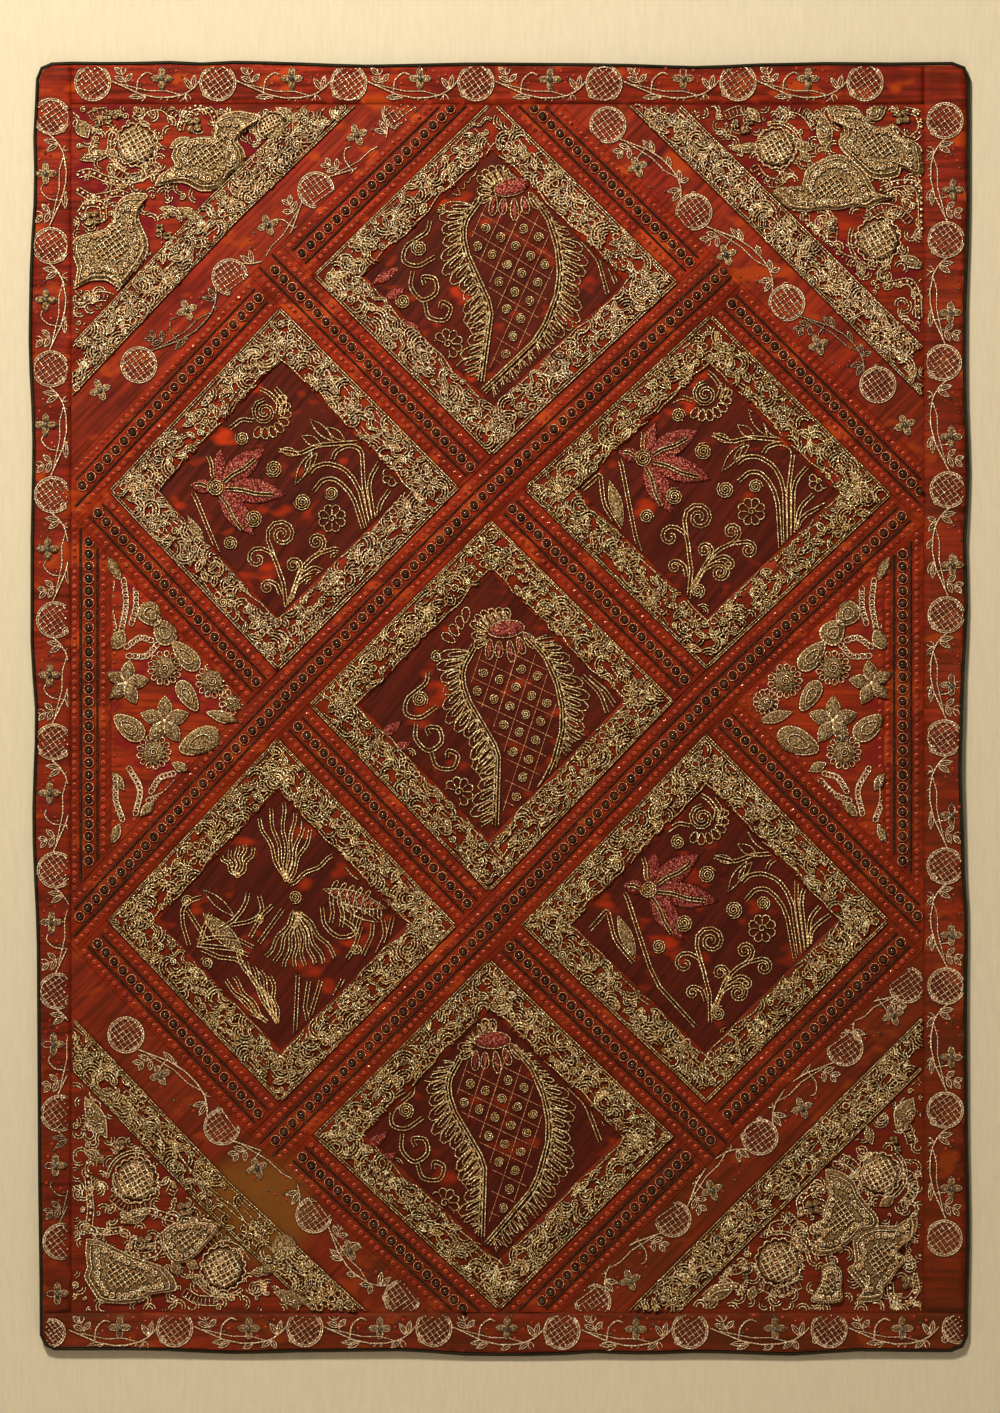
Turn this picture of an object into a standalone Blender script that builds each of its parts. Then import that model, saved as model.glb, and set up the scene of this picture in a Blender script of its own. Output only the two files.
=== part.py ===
"""Patchwork wall hanging of silk strips and padded metal thread panels, held flat by its top edge.

X runs to the right, Z up, and the front faces -Y. The origin is the middle of the top edge, at the
back of the cloth. Sizes are in metres.
"""

import math
from typing import NamedTuple

import bmesh
import bpy
from mathutils import Vector

MM = 0.001

# Outline and thickness of the whole hanging
LEFT_EDGE = -420.5 * MM
RIGHT_EDGE = 420.0 * MM
TOP_EDGE = 0.0
BOTTOM_EDGE = -1161.0 * MM
CORNER_RADIUS = 12.0 * MM
GROUND_THICKNESS = 1.5 * MM
SEAM_GAP = 0.3 * MM
HALF_GAP = SEAM_GAP / 2
PATCH_BACK = GROUND_THICKNESS + SEAM_GAP

# Piped edge
PIPING_RADIUS = 1.6 * MM
PIPING_SIDES = 6
CLOTH_INSET = 2 * PIPING_RADIUS + SEAM_GAP

# Roundel border, four strips of silk
BORDER_LEFT = -386.5 * MM
BORDER_RIGHT = 381.0 * MM
BORDER_TOP = -37.0 * MM
BORDER_BOTTOM = -1124.5 * MM
BORDER_THICKNESS = 1.4 * MM
RIM_BAND = 12.0 * MM
RIM_STATION = 30.0 * MM
RIM_LIFT = 3.4 * MM
LIFT_PER_DRAW = 0.55
LEAST_LIFT = 0.8 * MM
LIFT_SHARES = (1.0, 0.68, 0.0)

# Beaded ribbons
RIBBON_HALF = 19.5 * MM
VERTICAL_RIBBON = 36.0 * MM

# Gold frames, corner bands and diagonal roundel strips
FRAME_WIDTH = 34.0 * MM
FRAME_SIDE_STATION = 42.0 * MM
DIAGONAL_STRIP = 41.0 * MM
CORNER_BAND = 35.0 * MM
BAND_LENGTHS = 4
STRIP_THICKNESS = 1.5 * MM
PANEL_THICKNESS = 1.6 * MM
PANEL_CELL = 10.5 * MM
OVERRUN = 0.4
TOUCH = 1e-6


class Swell(NamedTuple):
    """How far one edge of the hanging stands out of its straight line, at one place along it."""

    along: float
    out: float


class Boss(NamedTuple):
    """One padded form on a panel: its middle, its length and width, its turn and its height."""

    across: float
    up: float
    long: float
    wide: float
    turn: float
    high: float


class Ribbon(NamedTuple):
    """One length of beaded ribbon: the crossings it passes, and what its two ends are cut by."""

    name: str
    path: tuple
    start_cuts: tuple
    end_cuts: tuple


# Swells of the four edges, in millimetres from the top left corner
LEFT_SWELLS = (
    Swell(15, -2.7), Swell(70, 0.0), Swell(105, -0.9), Swell(195, 3.6), Swell(250, 4.5),
    Swell(340, 0.9), Swell(450, 2.7), Swell(520, 2.7), Swell(590, -1.8), Swell(680, 0.9),
    Swell(805, -3.6), Swell(960, -4.5), Swell(1130, -6.3),
)
RIGHT_SWELLS = (
    Swell(50, 2.7), Swell(125, 2.7), Swell(235, -0.9), Swell(285, -0.9), Swell(375, 2.7),
    Swell(430, -0.9), Swell(485, 0.9), Swell(575, -3.6), Swell(630, -5.4), Swell(715, -2.7),
    Swell(775, 0.9), Swell(845, 0.0), Swell(960, 0.9), Swell(1050, 2.7), Swell(1140, 0.9),
)
TOP_SWELLS = (
    Swell(24, 0.4), Swell(42, 1.8), Swell(78, 0.4), Swell(114, 2.2), Swell(150, 0.4),
    Swell(186, 2.2), Swell(240, 0.4), Swell(294, -1.8), Swell(402, 0.4), Swell(510, -0.4),
    Swell(600, -3.1), Swell(660, -0.4), Swell(717, 0.9), Swell(780, 0.4), Swell(825, 0.9),
)
BOTTOM_SWELLS = (
    Swell(24, -2.7), Swell(96, -2.7), Swell(186, 0.9), Swell(258, -0.9), Swell(330, -1.8),
    Swell(402, 3.0), Swell(456, 3.0), Swell(510, 0.0), Swell(546, 1.8), Swell(600, 0.0),
    Swell(690, 2.7), Swell(735, -1.8), Swell(800, -0.9),
)

# Crossings of the ribbon lattice, and the places where it meets the border, in millimetres
CROSSINGS = {
    "foot_top_left": (-41.0, -37.0),
    "foot_top_right": (26.5, -37.0),
    "top_left": (-198.5, -191.0),
    "top_right": (189.5, -198.0),
    "edge_upper_left": (-380.5, -385.0),
    "edge_upper_right": (381.0, -389.0),
    "centre_top": (-8.5, -382.5),
    "middle_left": (-201.0, -577.0),
    "middle_right": (185.0, -574.0),
    "edge_lower_left": (-382.0, -772.0),
    "edge_lower_right": (379.5, -772.0),
    "centre_bottom": (-10.5, -776.5),
    "bottom_left": (-198.5, -965.5),
    "bottom_right": (185.0, -965.5),
    "foot_bottom_left": (-29.5, -1124.5),
    "foot_bottom_right": (26.5, -1124.5),
}

# Ribbon lengths. An end is cut by the border, or beside another ribbon, which keeps its whole width
RIBBONS = (
    Ribbon("ribbon_rise_1_lower", ("edge_upper_left", "top_left"), ("left", "fall_3_outer"),
           ("fall_2_near",)),
    Ribbon("ribbon_rise_1_upper", ("top_left", "foot_top_left"), ("fall_2_far",), ("top",)),
    Ribbon("ribbon_rise_2", ("edge_lower_left", "middle_left", "centre_top", "top_right"),
           ("left", "fall_4_outer_high"), ("fall_1_outer_low", "fall_1_outer_high")),
    Ribbon("ribbon_rise_3", ("bottom_left", "centre_bottom", "middle_right", "edge_upper_right"),
           ("fall_4_outer_low", "fall_4_outer_high"), ("fall_1_inner", "right")),
    Ribbon("ribbon_rise_4_lower", ("foot_bottom_right", "bottom_right"), ("bottom",), ("fall_3_near",)),
    Ribbon("ribbon_rise_4_upper", ("bottom_right", "edge_lower_right"),
           ("fall_3_far",), ("fall_2_end", "right")),
    Ribbon("ribbon_fall_1_upper", ("foot_top_right", "top_right"), ("top",), ("rise_2_top_far",)),
    Ribbon("ribbon_fall_1_lower", ("top_right", "edge_upper_right"), ("rise_2_top_near",),
           ("right", "rise_3_outer")),
    Ribbon("ribbon_fall_2_upper", ("top_left", "centre_top"),
           ("rise_1_outer_low", "rise_1_outer_high"), ("rise_2_above_low", "rise_2_above_high")),
    Ribbon("ribbon_fall_2_middle", ("centre_top", "middle_right"),
           ("rise_2_below_low", "rise_2_below_high"), ("rise_3_above_low", "rise_3_above_high")),
    Ribbon("ribbon_fall_2_lower", ("middle_right", "edge_lower_right"),
           ("rise_3_below_low", "rise_3_below_high"), ("right", "rise_4_outer_high")),
    Ribbon("ribbon_fall_3_upper", ("edge_upper_left", "middle_left"),
           ("rise_1_inner", "left"), ("rise_2_left_above_low", "rise_2_left_above_high")),
    Ribbon("ribbon_fall_3_middle", ("middle_left", "centre_bottom"),
           ("rise_2_left_below_low", "rise_2_left_below_high"),
           ("rise_3_centre_above_low", "rise_3_centre_above_high")),
    Ribbon("ribbon_fall_3_lower", ("centre_bottom", "bottom_right"),
           ("rise_3_centre_below_low", "rise_3_centre_below_high"),
           ("rise_4_outer_low", "rise_4_outer_high")),
    Ribbon("ribbon_fall_4_upper", ("edge_lower_left", "bottom_left"), ("rise_2_start", "left"),
           ("rise_3_start_above",)),
    Ribbon("ribbon_fall_4_lower", ("bottom_left", "foot_bottom_left"), ("rise_3_start_below",), ("bottom",)),
)

# Across a ribbon: place from its middle as a share of its half width, and height over its back
RIBBON_PROFILE = (
    (-1.0, 1.3), (-0.62, 1.7), (-0.43, 2.6), (-0.2, 2.3), (0.0, 3.6),
    (0.2, 2.3), (0.43, 2.6), (0.62, 1.7), (1.0, 1.3),
)

# Across a gold frame or band: share of its width from the outer edge, and height over its back
FRAME_PROFILE = ((0.0, 1.6), (0.08, 3.8), (0.3, 4.6), (0.55, 5.3), (0.85, 4.3), (1.0, 1.7))
FRAME_UNEVEN = 0.5 * MM
BOSS_ROUNDING = 0.6

# Padded forms of the pod panels, from the crown of the pod, in millimetres and degrees
POD_BOSSES = (
    Boss(0, 2, 62, 40, -15, 5.0), Boss(-7, -62, 120, 84, 84, 4.2), Boss(-15, -125, 120, 58, 100, 4.2),
    Boss(-56, -57, 110, 22, 80, 2.4), Boss(48, -70, 125, 24, 105, 2.4), Boss(-87, -60, 96, 24, 85, 2.4),
    Boss(-60, -140, 26, 26, 0, 3.2), Boss(76, -88, 60, 16, 60, 2.2),
)

# Padded forms of the star flower panels, from the heart of the flower
STAR_BOSSES = (
    Boss(0, 0, 100, 26, 20, 3.6), Boss(0, 0, 96, 26, 80, 3.6), Boss(0, 0, 90, 26, 140, 3.6),
    Boss(39, -29, 18, 18, 0, 2.8), Boss(51, 12, 18, 18, 0, 2.8), Boss(76, -13, 18, 18, 0, 2.8),
    Boss(107, -25, 28, 28, 0, 3.4), Boss(68, -62, 96, 42, 100, 2.8), Boss(60, -112, 46, 26, 90, 2.6),
    Boss(106, 30, 96, 26, 20, 2.8), Boss(150, -16, 92, 28, 62, 3.2), Boss(54, 64, 52, 40, 20, 3.2),
    Boss(-32, -8, 40, 20, 70, 2.4),
)

# Padded forms of the reed tuft panel, from its tied middle
REED_BOSSES = (
    Boss(0, 0, 34, 30, 0, 4.2), Boss(-8, 44, 86, 54, 80, 3.4), Boss(10, -38, 90, 66, 105, 3.4),
    Boss(-80, -14, 84, 40, 48, 3.0), Boss(64, -26, 90, 28, 60, 3.0), Boss(-16, -96, 84, 44, 100, 3.0),
    Boss(-48, 8, 40, 22, 60, 2.6),
)

# Padded forms of the four velvet corners and the two half diamonds, on the hanging itself
CORNER_BOSSES = {
    "top_left": (
        Boss(-270, -92, 70, 50, 10, 9.0), Boss(-351, -164, 64, 54, 30, 9.0), Boss(-275, -51, 22, 18, 0, 5.0),
        Boss(-369, -128, 20, 18, 0, 5.0), Boss(-324, -69, 42, 40, 0, 4.5), Boss(-342, -110, 40, 30, 40, 4.0),
        Boss(-366, -62, 26, 26, 0, 3.5),
    ),
    "top_right": (
        Boss(346, -78, 80, 50, -20, 9.0), Boss(314, -110, 76, 46, 10, 9.0), Boss(256, -78, 46, 42, 0, 5.0),
        Boss(342, -155, 48, 48, 0, 5.0), Boss(295, -58, 24, 20, 40, 6.0), Boss(300, -138, 40, 22, -20, 4.0),
        Boss(365, -135, 30, 30, 0, 5.5),
    ),
    "bottom_left": (
        Boss(-338, -1082, 74, 56, 10, 9.0), Boss(-275, -1060, 56, 40, 20, 9.0),
        Boss(-324, -996, 46, 44, 0, 5.0),
        Boss(-248, -1082, 50, 46, 0, 5.0), Boss(-360, -955, 50, 22, 70, 4.0),
        Boss(-200, -1108, 56, 20, 10, 4.0),
        Boss(-362, -1050, 24, 24, 0, 5.5),
    ),
    "bottom_right": (
        Boss(342, -1073, 72, 62, 20, 9.0), Boss(300, -1040, 60, 46, -30, 9.0),
        Boss(342, -992, 46, 44, 0, 5.0),
        Boss(252, -1082, 48, 44, 0, 5.0), Boss(300, -1100, 60, 24, 0, 4.0), Boss(362, -1045, 30, 26, 0, 5.5),
        Boss(210, -1105, 40, 20, 0, 3.6),
    ),
}
HALF_DIAMOND_BOSSES = {
    "left": (
        Boss(-338, -556, 38, 38, 0, 6.0), Boss(-306, -588, 38, 38, 0, 6.0), Boss(-302, -533, 32, 32, 0, 6.0),
        Boss(-316, -498, 44, 22, 40, 5.0), Boss(-342, -480, 70, 18, 95, 3.4),
        Boss(-262, -572, 44, 20, 60, 5.0),
        Boss(-340, -622, 60, 26, 70, 4.0), Boss(-300, -625, 60, 24, 60, 4.0),
        Boss(-334, -660, 50, 18, 80, 3.4),
    ),
    "right": (
        Boss(248, -573, 42, 42, 0, 6.0), Boss(286, -588, 38, 38, 0, 6.0), Boss(280, -540, 32, 32, 0, 6.0),
        Boss(300, -500, 44, 22, 140, 5.0), Boss(338, -480, 76, 18, 85, 3.4), Boss(315, -530, 44, 24, 40, 5.0),
        Boss(336, -570, 46, 20, 80, 4.4), Boss(305, -625, 76, 22, 130, 4.0),
        Boss(330, -655, 50, 18, 100, 3.4),
    ),
}

# Colour, roughness and metallic value of each kind of piece
FINISHES = {
    "backing_cloth": ((0.020, 0.022, 0.017, 1.0), 0.9, 0.0),
    "piping_silk": ((0.021, 0.019, 0.015, 1.0), 0.6, 0.0),
    "border_silk": ((0.370, 0.045, 0.018, 1.0), 0.5, 0.0),
    "ribbon_silk": ((0.400, 0.040, 0.020, 1.0), 0.5, 0.0),
    "tarnished_gold_thread": ((0.300, 0.230, 0.090, 1.0), 0.42, 0.6),
    "panel_silk": ((0.120, 0.018, 0.016, 1.0), 0.5, 0.0),
    "crimson_velvet": ((0.220, 0.012, 0.018, 1.0), 0.8, 0.0),
}


def clear_scene():
    """Removes every object of the open scene."""
    for old in list(bpy.data.objects):
        bpy.data.objects.remove(old, do_unlink=True)


def finish(name):
    """The material of one kind of piece, made once."""
    made = bpy.data.materials.get(name)
    if made:
        return made
    colour, roughness, metallic = FINISHES[name]
    made = bpy.data.materials.new(name)
    made.use_nodes = True
    shader = made.node_tree.nodes["Principled BSDF"]
    shader.inputs["Base Color"].default_value = colour
    shader.inputs["Roughness"].default_value = roughness
    shader.inputs["Metallic"].default_value = metallic
    made.diffuse_color = colour
    return made


def add_piece(name, shape, material):
    """Makes one named object of a closed bmesh shape."""
    bmesh.ops.remove_doubles(shape, verts=shape.verts, dist=1e-6)
    bmesh.ops.recalc_face_normals(shape, faces=shape.faces)
    mesh = bpy.data.meshes.new(name)
    shape.to_mesh(mesh)
    shape.free()
    mesh.materials.append(finish(material))
    piece = bpy.data.objects.new(name, mesh)
    bpy.context.collection.objects.link(piece)
    return piece


def smooth(share):
    """Eases a share between 0 and 1."""
    return share * share * (3 - 2 * share)


def swell_at(rows, along):
    """How far an edge stands out at one place, eased between the rows of its table."""
    place = along / MM
    if place <= rows[0].along:
        return rows[0].out * MM
    for low, high in zip(rows, rows[1:]):
        if place <= high.along:
            share = smooth((place - low.along) / (high.along - low.along))
            return (low.out + (high.out - low.out) * share) * MM
    return rows[-1].out * MM


def lift_of(out):
    """How far the rim stands forward: more where the edge is drawn in, less where it lies out flat."""
    return max(LEAST_LIFT, RIM_LIFT - LIFT_PER_DRAW * out)


# Grid of the rim, which the ground cloth, the border strips and the piping share

def stations(low, high, step):
    """Evenly spaced places between two ends, about a step apart."""
    count = max(1, round(abs(high - low) / step))
    return [low + (high - low) * k / count for k in range(count + 1)]


LEFT_CLOTH = LEFT_EDGE + CLOTH_INSET
RIGHT_CLOTH = RIGHT_EDGE - CLOTH_INSET
TOP_CLOTH = TOP_EDGE - CLOTH_INSET
BOTTOM_CLOTH = BOTTOM_EDGE + CLOTH_INSET
COLUMNS = (
    [LEFT_CLOTH, LEFT_CLOTH + RIM_BAND]
    + stations(BORDER_LEFT, BORDER_RIGHT, RIM_STATION)
    + [RIGHT_CLOTH - RIM_BAND, RIGHT_CLOTH]
)
ROWS = (
    [TOP_CLOTH, TOP_CLOTH - RIM_BAND]
    + stations(BORDER_TOP, BORDER_BOTTOM, RIM_STATION)
    + [BOTTOM_CLOTH + RIM_BAND, BOTTOM_CLOTH]
)
LAST_COLUMN = len(COLUMNS) - 1
LAST_ROW = len(ROWS) - 1
INNER = 2
CORNER_PULL = CORNER_RADIUS * (1 - math.sqrt(0.5))


def rim_share(index, last):
    """Share of the rim's swell and lift that one column or row takes, from 1 at the edge to 0 inside."""
    steps = min(index, last - index)
    return LIFT_SHARES[min(steps, INNER)]


def rim_point(column, row, depth):
    """One point of the rim grid, at a depth in front of the cloth's back."""
    x = COLUMNS[column]
    z = ROWS[row]
    side = rim_share(column, LAST_COLUMN)
    level = rim_share(row, LAST_ROW)
    side_rows = LEFT_SWELLS if column < INNER else RIGHT_SWELLS
    level_rows = TOP_SWELLS if row < INNER else BOTTOM_SWELLS
    side_out = swell_at(side_rows, TOP_EDGE - z)
    level_out = swell_at(level_rows, x - LEFT_EDGE)
    lift = max(side * lift_of(side_out), level * lift_of(level_out))
    x += side * side_out * (-1 if column < INNER else 1)
    z += level * level_out * (1 if row < INNER else -1)
    if column in (0, LAST_COLUMN) and row in (0, LAST_ROW):
        x += CORNER_PULL if column == 0 else -CORNER_PULL
        z += -CORNER_PULL if row == 0 else CORNER_PULL
    return Vector((x, -depth - lift, z))


def grid_solid(name, front, back, material, wraps=False):
    """A closed solid between two matching grids of points, each a list of stations across the piece."""
    shape = bmesh.new()
    fore = [[shape.verts.new(point) for point in station] for station in front]
    rear = [[shape.verts.new(point) for point in station] for station in back]
    count = len(fore)
    lines = len(fore[0])
    for s in range(count if wraps else count - 1):
        t = (s + 1) % count
        for k in range(lines - 1):
            for grid in (fore, rear):
                shape.faces.new((grid[s][k], grid[s][k + 1], grid[t][k + 1]))
                shape.faces.new((grid[s][k], grid[t][k + 1], grid[t][k]))
        for k in (0, lines - 1):
            shape.faces.new((fore[s][k], fore[t][k], rear[t][k], rear[s][k]))
    if not wraps:
        for s in (0, count - 1):
            for k in range(lines - 1):
                shape.faces.new((fore[s][k], fore[s][k + 1], rear[s][k + 1], rear[s][k]))
    return add_piece(name, shape, material)


def rim_edge():
    """Columns and rows of the outermost points of the rim grid, in order round the hanging."""
    top = [(column, 0) for column in range(LAST_COLUMN)]
    right = [(LAST_COLUMN, row) for row in range(LAST_ROW)]
    bottom = [(column, LAST_ROW) for column in range(LAST_COLUMN, 0, -1)]
    left = [(0, row) for row in range(LAST_ROW, 0, -1)]
    return top + right + bottom + left


def ground_cloth():
    """The backing that carries every patch: flat in its middle, with a rim that lifts in soft waves."""
    shape = bmesh.new()
    layers = []
    for depth in (GROUND_THICKNESS, 0.0):
        points = {}
        for column in range(LAST_COLUMN + 1):
            for row in range(LAST_ROW + 1):
                in_rim = min(column, LAST_COLUMN - column, row, LAST_ROW - row) <= INNER
                if in_rim:
                    points[column, row] = shape.verts.new(rim_point(column, row, depth))
        for column in range(LAST_COLUMN):
            for row in range(LAST_ROW):
                if INNER <= column < LAST_COLUMN - INNER and INNER <= row < LAST_ROW - INNER:
                    continue
                corners = [(column, row), (column, row + 1), (column + 1, row + 1), (column + 1, row)]
                a, b, c, d = (points[corner] for corner in corners)
                shape.faces.new((a, b, c))
                shape.faces.new((a, c, d))
        last_column, last_row = LAST_COLUMN - INNER, LAST_ROW - INNER
        loop = [(column, INNER) for column in range(INNER, last_column)]
        loop += [(last_column, row) for row in range(INNER, last_row)]
        loop += [(column, last_row) for column in range(last_column, INNER, -1)]
        loop += [(INNER, row) for row in range(last_row, INNER, -1)]
        shape.faces.new([points[place] for place in loop])
        layers.append(points)
    edge = rim_edge()
    for place, following in zip(edge, edge[1:] + edge[:1]):
        shape.faces.new((layers[0][place], layers[0][following], layers[1][following], layers[1][place]))
    return add_piece("ground_cloth", shape, "backing_cloth")


def border_strip(name, columns, rows):
    """One strip of the roundel border, which lies on the rim between two columns and two rows."""
    grids = []
    for depth in (PATCH_BACK + BORDER_THICKNESS, PATCH_BACK):
        grid = []
        for column in range(columns[0], columns[1] + 1):
            line = []
            for row in range(rows[0], rows[1] + 1):
                point = rim_point(column, row, depth)
                if column == columns[0] and column > 0:
                    point.x += HALF_GAP
                if column == columns[1] and column < LAST_COLUMN:
                    point.x -= HALF_GAP
                if row == rows[0] and row > 0:
                    point.z -= HALF_GAP
                if row == rows[1] and row < LAST_ROW:
                    point.z += HALF_GAP
                line.append(point)
            grid.append(line)
        grids.append(grid)
    return grid_solid(name, grids[0], grids[1], "border_silk")


def edge_piping():
    """The round cord sewn along the whole edge, just outside the cloth and the border strips."""
    depth = (PATCH_BACK + BORDER_THICKNESS) / 2
    path = [rim_point(column, row, depth) for column, row in rim_edge()]
    reach = PIPING_RADIUS + SEAM_GAP
    rings = []
    for before, here, after in zip(path[-1:] + path[:-1], path, path[1:] + path[:1]):
        ahead = Vector((after.x - before.x, 0, after.z - before.z)).normalized()
        outward = Vector((-ahead.z, 0, ahead.x))
        turn = Vector((after.x - here.x, 0, after.z - here.z)).normalized().dot(ahead)
        centre = here + outward * (reach / turn)
        ring = []
        for side in range(PIPING_SIDES):
            angle = 2 * math.pi * side / PIPING_SIDES
            forward = Vector((0, -PIPING_RADIUS * math.sin(angle), 0))
            ring.append(centre + outward * (PIPING_RADIUS * math.cos(angle)) + forward)
        rings.append(ring)
    shape = bmesh.new()
    loops = [[shape.verts.new(point) for point in ring] for ring in rings]
    for ring, following in zip(loops, loops[1:] + loops[:1]):
        for side in range(PIPING_SIDES):
            nearby = (side + 1) % PIPING_SIDES
            shape.faces.new((ring[side], ring[nearby], following[nearby], following[side]))
    return add_piece("edge_piping", shape, "piping_silk")


# Plane geometry of the patchwork. A place is a Vector of across and up

# An outline round more than the whole hanging, from which patches are cut
WHOLE_PLANE = (Vector((-1.0, -2.0)), Vector((1.0, -2.0)), Vector((1.0, 1.0)), Vector((-1.0, 1.0)))


def crossing(name):
    """One crossing of the ribbon lattice, in metres."""
    across, up = CROSSINGS[name]
    return Vector((across * MM, up * MM))


def left_of(start, end):
    """The unit vector to the left of the way from one place to another."""
    way = (end - start).normalized()
    return Vector((-way.y, way.x))


def beside(start, end, distance):
    """A cut line: a point on it and the unit vector towards the side that is kept, left of the way."""
    normal = left_of(start, end)
    return start + normal * distance, normal


def meeting(point, way, line):
    """Share of a way, from a point, at which it meets a cut line."""
    on_line, normal = line
    return (on_line - point).dot(normal) / way.dot(normal)


def clipped(outline, line):
    """The part of an outline on the kept side of a cut line."""
    on_line, normal = line
    kept = []
    for here, after in zip(outline, outline[1:] + outline[:1]):
        depth = (here - on_line).dot(normal)
        next_depth = (after - on_line).dot(normal)
        if depth >= 0:
            kept.append(here)
        if depth * next_depth < 0:
            kept.append(here.lerp(after, depth / (depth - next_depth)))
    return kept


def inset(corners, distances):
    """The convex outline that lies inside another by one distance for each of its sides."""
    outline = list(WHOLE_PLANE)
    for start, end, distance in zip(corners, corners[1:] + corners[:1], distances):
        outline = clipped(outline, beside(start, end, distance))
    return outline


def offset_path(path, distance):
    """A path moved to its left, with its bends kept and its ends run on well past where they are cut."""
    moved = []
    for k, here in enumerate(path):
        if k == 0:
            way = (path[1] - here).normalized()
            moved.append(here + left_of(here, path[1]) * distance - way * OVERRUN)
        elif k == len(path) - 1:
            way = (here - path[-2]).normalized()
            moved.append(here + left_of(path[-2], here) * distance + way * OVERRUN)
        else:
            way = here - path[k - 1]
            start = here + left_of(path[k - 1], here) * distance
            share = meeting(start, way, beside(here, path[k + 1], distance))
            moved.append(start + way * share)
    return moved


BORDER_CUTS = {
    "left": (Vector((BORDER_LEFT + HALF_GAP, 0)), Vector((1, 0))),
    "right": (Vector((BORDER_RIGHT - HALF_GAP, 0)), Vector((-1, 0))),
    "top": (Vector((0, BORDER_TOP - HALF_GAP)), Vector((0, -1))),
    "bottom": (Vector((0, BORDER_BOTTOM + HALF_GAP)), Vector((0, 1))),
}


def ribbon_cuts():
    """Every line that a ribbon's end is cut by, by name."""
    whole = RIBBON_HALF + HALF_GAP
    through = HALF_GAP - RIBBON_HALF
    ways = {
        "fall_2_near": ("centre_top", "top_left", whole),
        "fall_2_far": ("top_left", "centre_top", whole),
        "fall_1_outer_low": ("edge_upper_right", "top_right", through),
        "fall_1_outer_high": ("top_right", "foot_top_right", through),
        "fall_1_inner": ("edge_upper_right", "top_right", whole),
        "fall_4_outer_high": ("edge_lower_left", "bottom_left", through),
        "fall_4_outer_low": ("bottom_left", "foot_bottom_left", through),
        "fall_3_near": ("bottom_right", "centre_bottom", whole),
        "fall_3_far": ("centre_bottom", "bottom_right", whole),
        "fall_2_end": ("edge_lower_right", "middle_right", whole),
        "rise_2_top_far": ("centre_top", "top_right", whole),
        "rise_2_top_near": ("top_right", "centre_top", whole),
        "rise_1_outer_low": ("top_left", "edge_upper_left", through),
        "rise_1_outer_high": ("foot_top_left", "top_left", through),
        "fall_3_outer": ("edge_upper_left", "middle_left", through),
        "rise_3_outer": ("middle_right", "edge_upper_right", through),
        "rise_1_inner": ("top_left", "edge_upper_left", whole),
        "rise_2_start": ("middle_left", "edge_lower_left", whole),
        "rise_3_start_above": ("bottom_left", "centre_bottom", whole),
        "rise_3_start_below": ("centre_bottom", "bottom_left", whole),
        "rise_4_outer_low": ("foot_bottom_right", "bottom_right", through),
        "rise_4_outer_high": ("bottom_right", "edge_lower_right", through),
    }
    for prefix, low, here, high in (
        ("rise_2", "middle_left", "centre_top", "top_right"),
        ("rise_3", "centre_bottom", "middle_right", "edge_upper_right"),
        ("rise_2_left", "edge_lower_left", "middle_left", "centre_top"),
        ("rise_3_centre", "bottom_left", "centre_bottom", "middle_right"),
    ):
        ways[prefix + "_above_low"] = (low, here, whole)
        ways[prefix + "_above_high"] = (here, high, whole)
        ways[prefix + "_below_low"] = (here, low, whole)
        ways[prefix + "_below_high"] = (high, here, whole)
    cuts = {name: beside(crossing(start), crossing(end), far) for name, (start, end, far) in ways.items()}
    cuts.update(BORDER_CUTS)
    return cuts


def cut_end(inside, outside, cuts):
    """The place nearest to the inside at which the way outside meets one of the cut lines."""
    way = outside - inside
    share = 1.0
    for on_line, normal in cuts:
        if way.dot(normal) < 0:
            share = min(share, meeting(inside, way, (on_line, normal)))
    return inside + way * share


def ribbon(row, cuts):
    """One length of beaded ribbon: a silk strip with a ridge for its beads and one for each cord."""
    path = [crossing(name) for name in row.path]
    grids = ([], [])
    for share, height in RIBBON_PROFILE:
        line = offset_path(path, share * (RIBBON_HALF - HALF_GAP))
        near_start = line[0].lerp(line[1], 0.5) if len(line) == 2 else line[1]
        near_end = near_start if len(line) == 2 else line[-2]
        start = cut_end(near_start, line[0], [cuts[name] for name in row.start_cuts])
        end = cut_end(near_end, line[-1], [cuts[name] for name in row.end_cuts])
        places = [start] + line[1:-1] + [end]
        grids[0].append([Vector((p.x, -PATCH_BACK - height * MM, p.y)) for p in places])
        grids[1].append([Vector((p.x, -PATCH_BACK, p.y)) for p in places])
    return grid_solid(row.name, grids[0], grids[1], "ribbon_silk")


def uneven(place):
    """A slow, fixed unevenness of the stitched gold, between -1 and 1."""
    across, up = place.x / MM, place.y / MM
    return 0.5 * math.sin(across * 0.11 + up * 0.05) + 0.5 * math.sin(up * 0.13 - across * 0.04 + 1.3)


def profile_lift(place, height):
    """Height of stitched gold at one place, in metres, uneven but for its two low edges."""
    if height <= FRAME_PROFILE[-1][1]:
        return height * MM
    return height * MM + FRAME_UNEVEN * uneven(place)


def frame_solid(name, outer, inner):
    """A padded gold frame between two outlines that have the same corners in the same order."""
    front, back = [], []
    for k, corner in enumerate(outer):
        after = (k + 1) % len(outer)
        count = max(1, round((outer[after] - corner).length / FRAME_SIDE_STATION))
        for s in range(count):
            out_place = corner.lerp(outer[after], s / count)
            in_place = inner[k].lerp(inner[after], s / count)
            places = [out_place.lerp(in_place, share) for share, _ in FRAME_PROFILE]
            lifts = [profile_lift(p, row[1]) for p, row in zip(places, FRAME_PROFILE)]
            front.append([Vector((p.x, -PATCH_BACK - lift, p.y)) for p, lift in zip(places, lifts)])
            back.append([Vector((p.x, -PATCH_BACK, p.y)) for p in places])
    return grid_solid(name, front, back, "tarnished_gold_thread", wraps=True)


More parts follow.
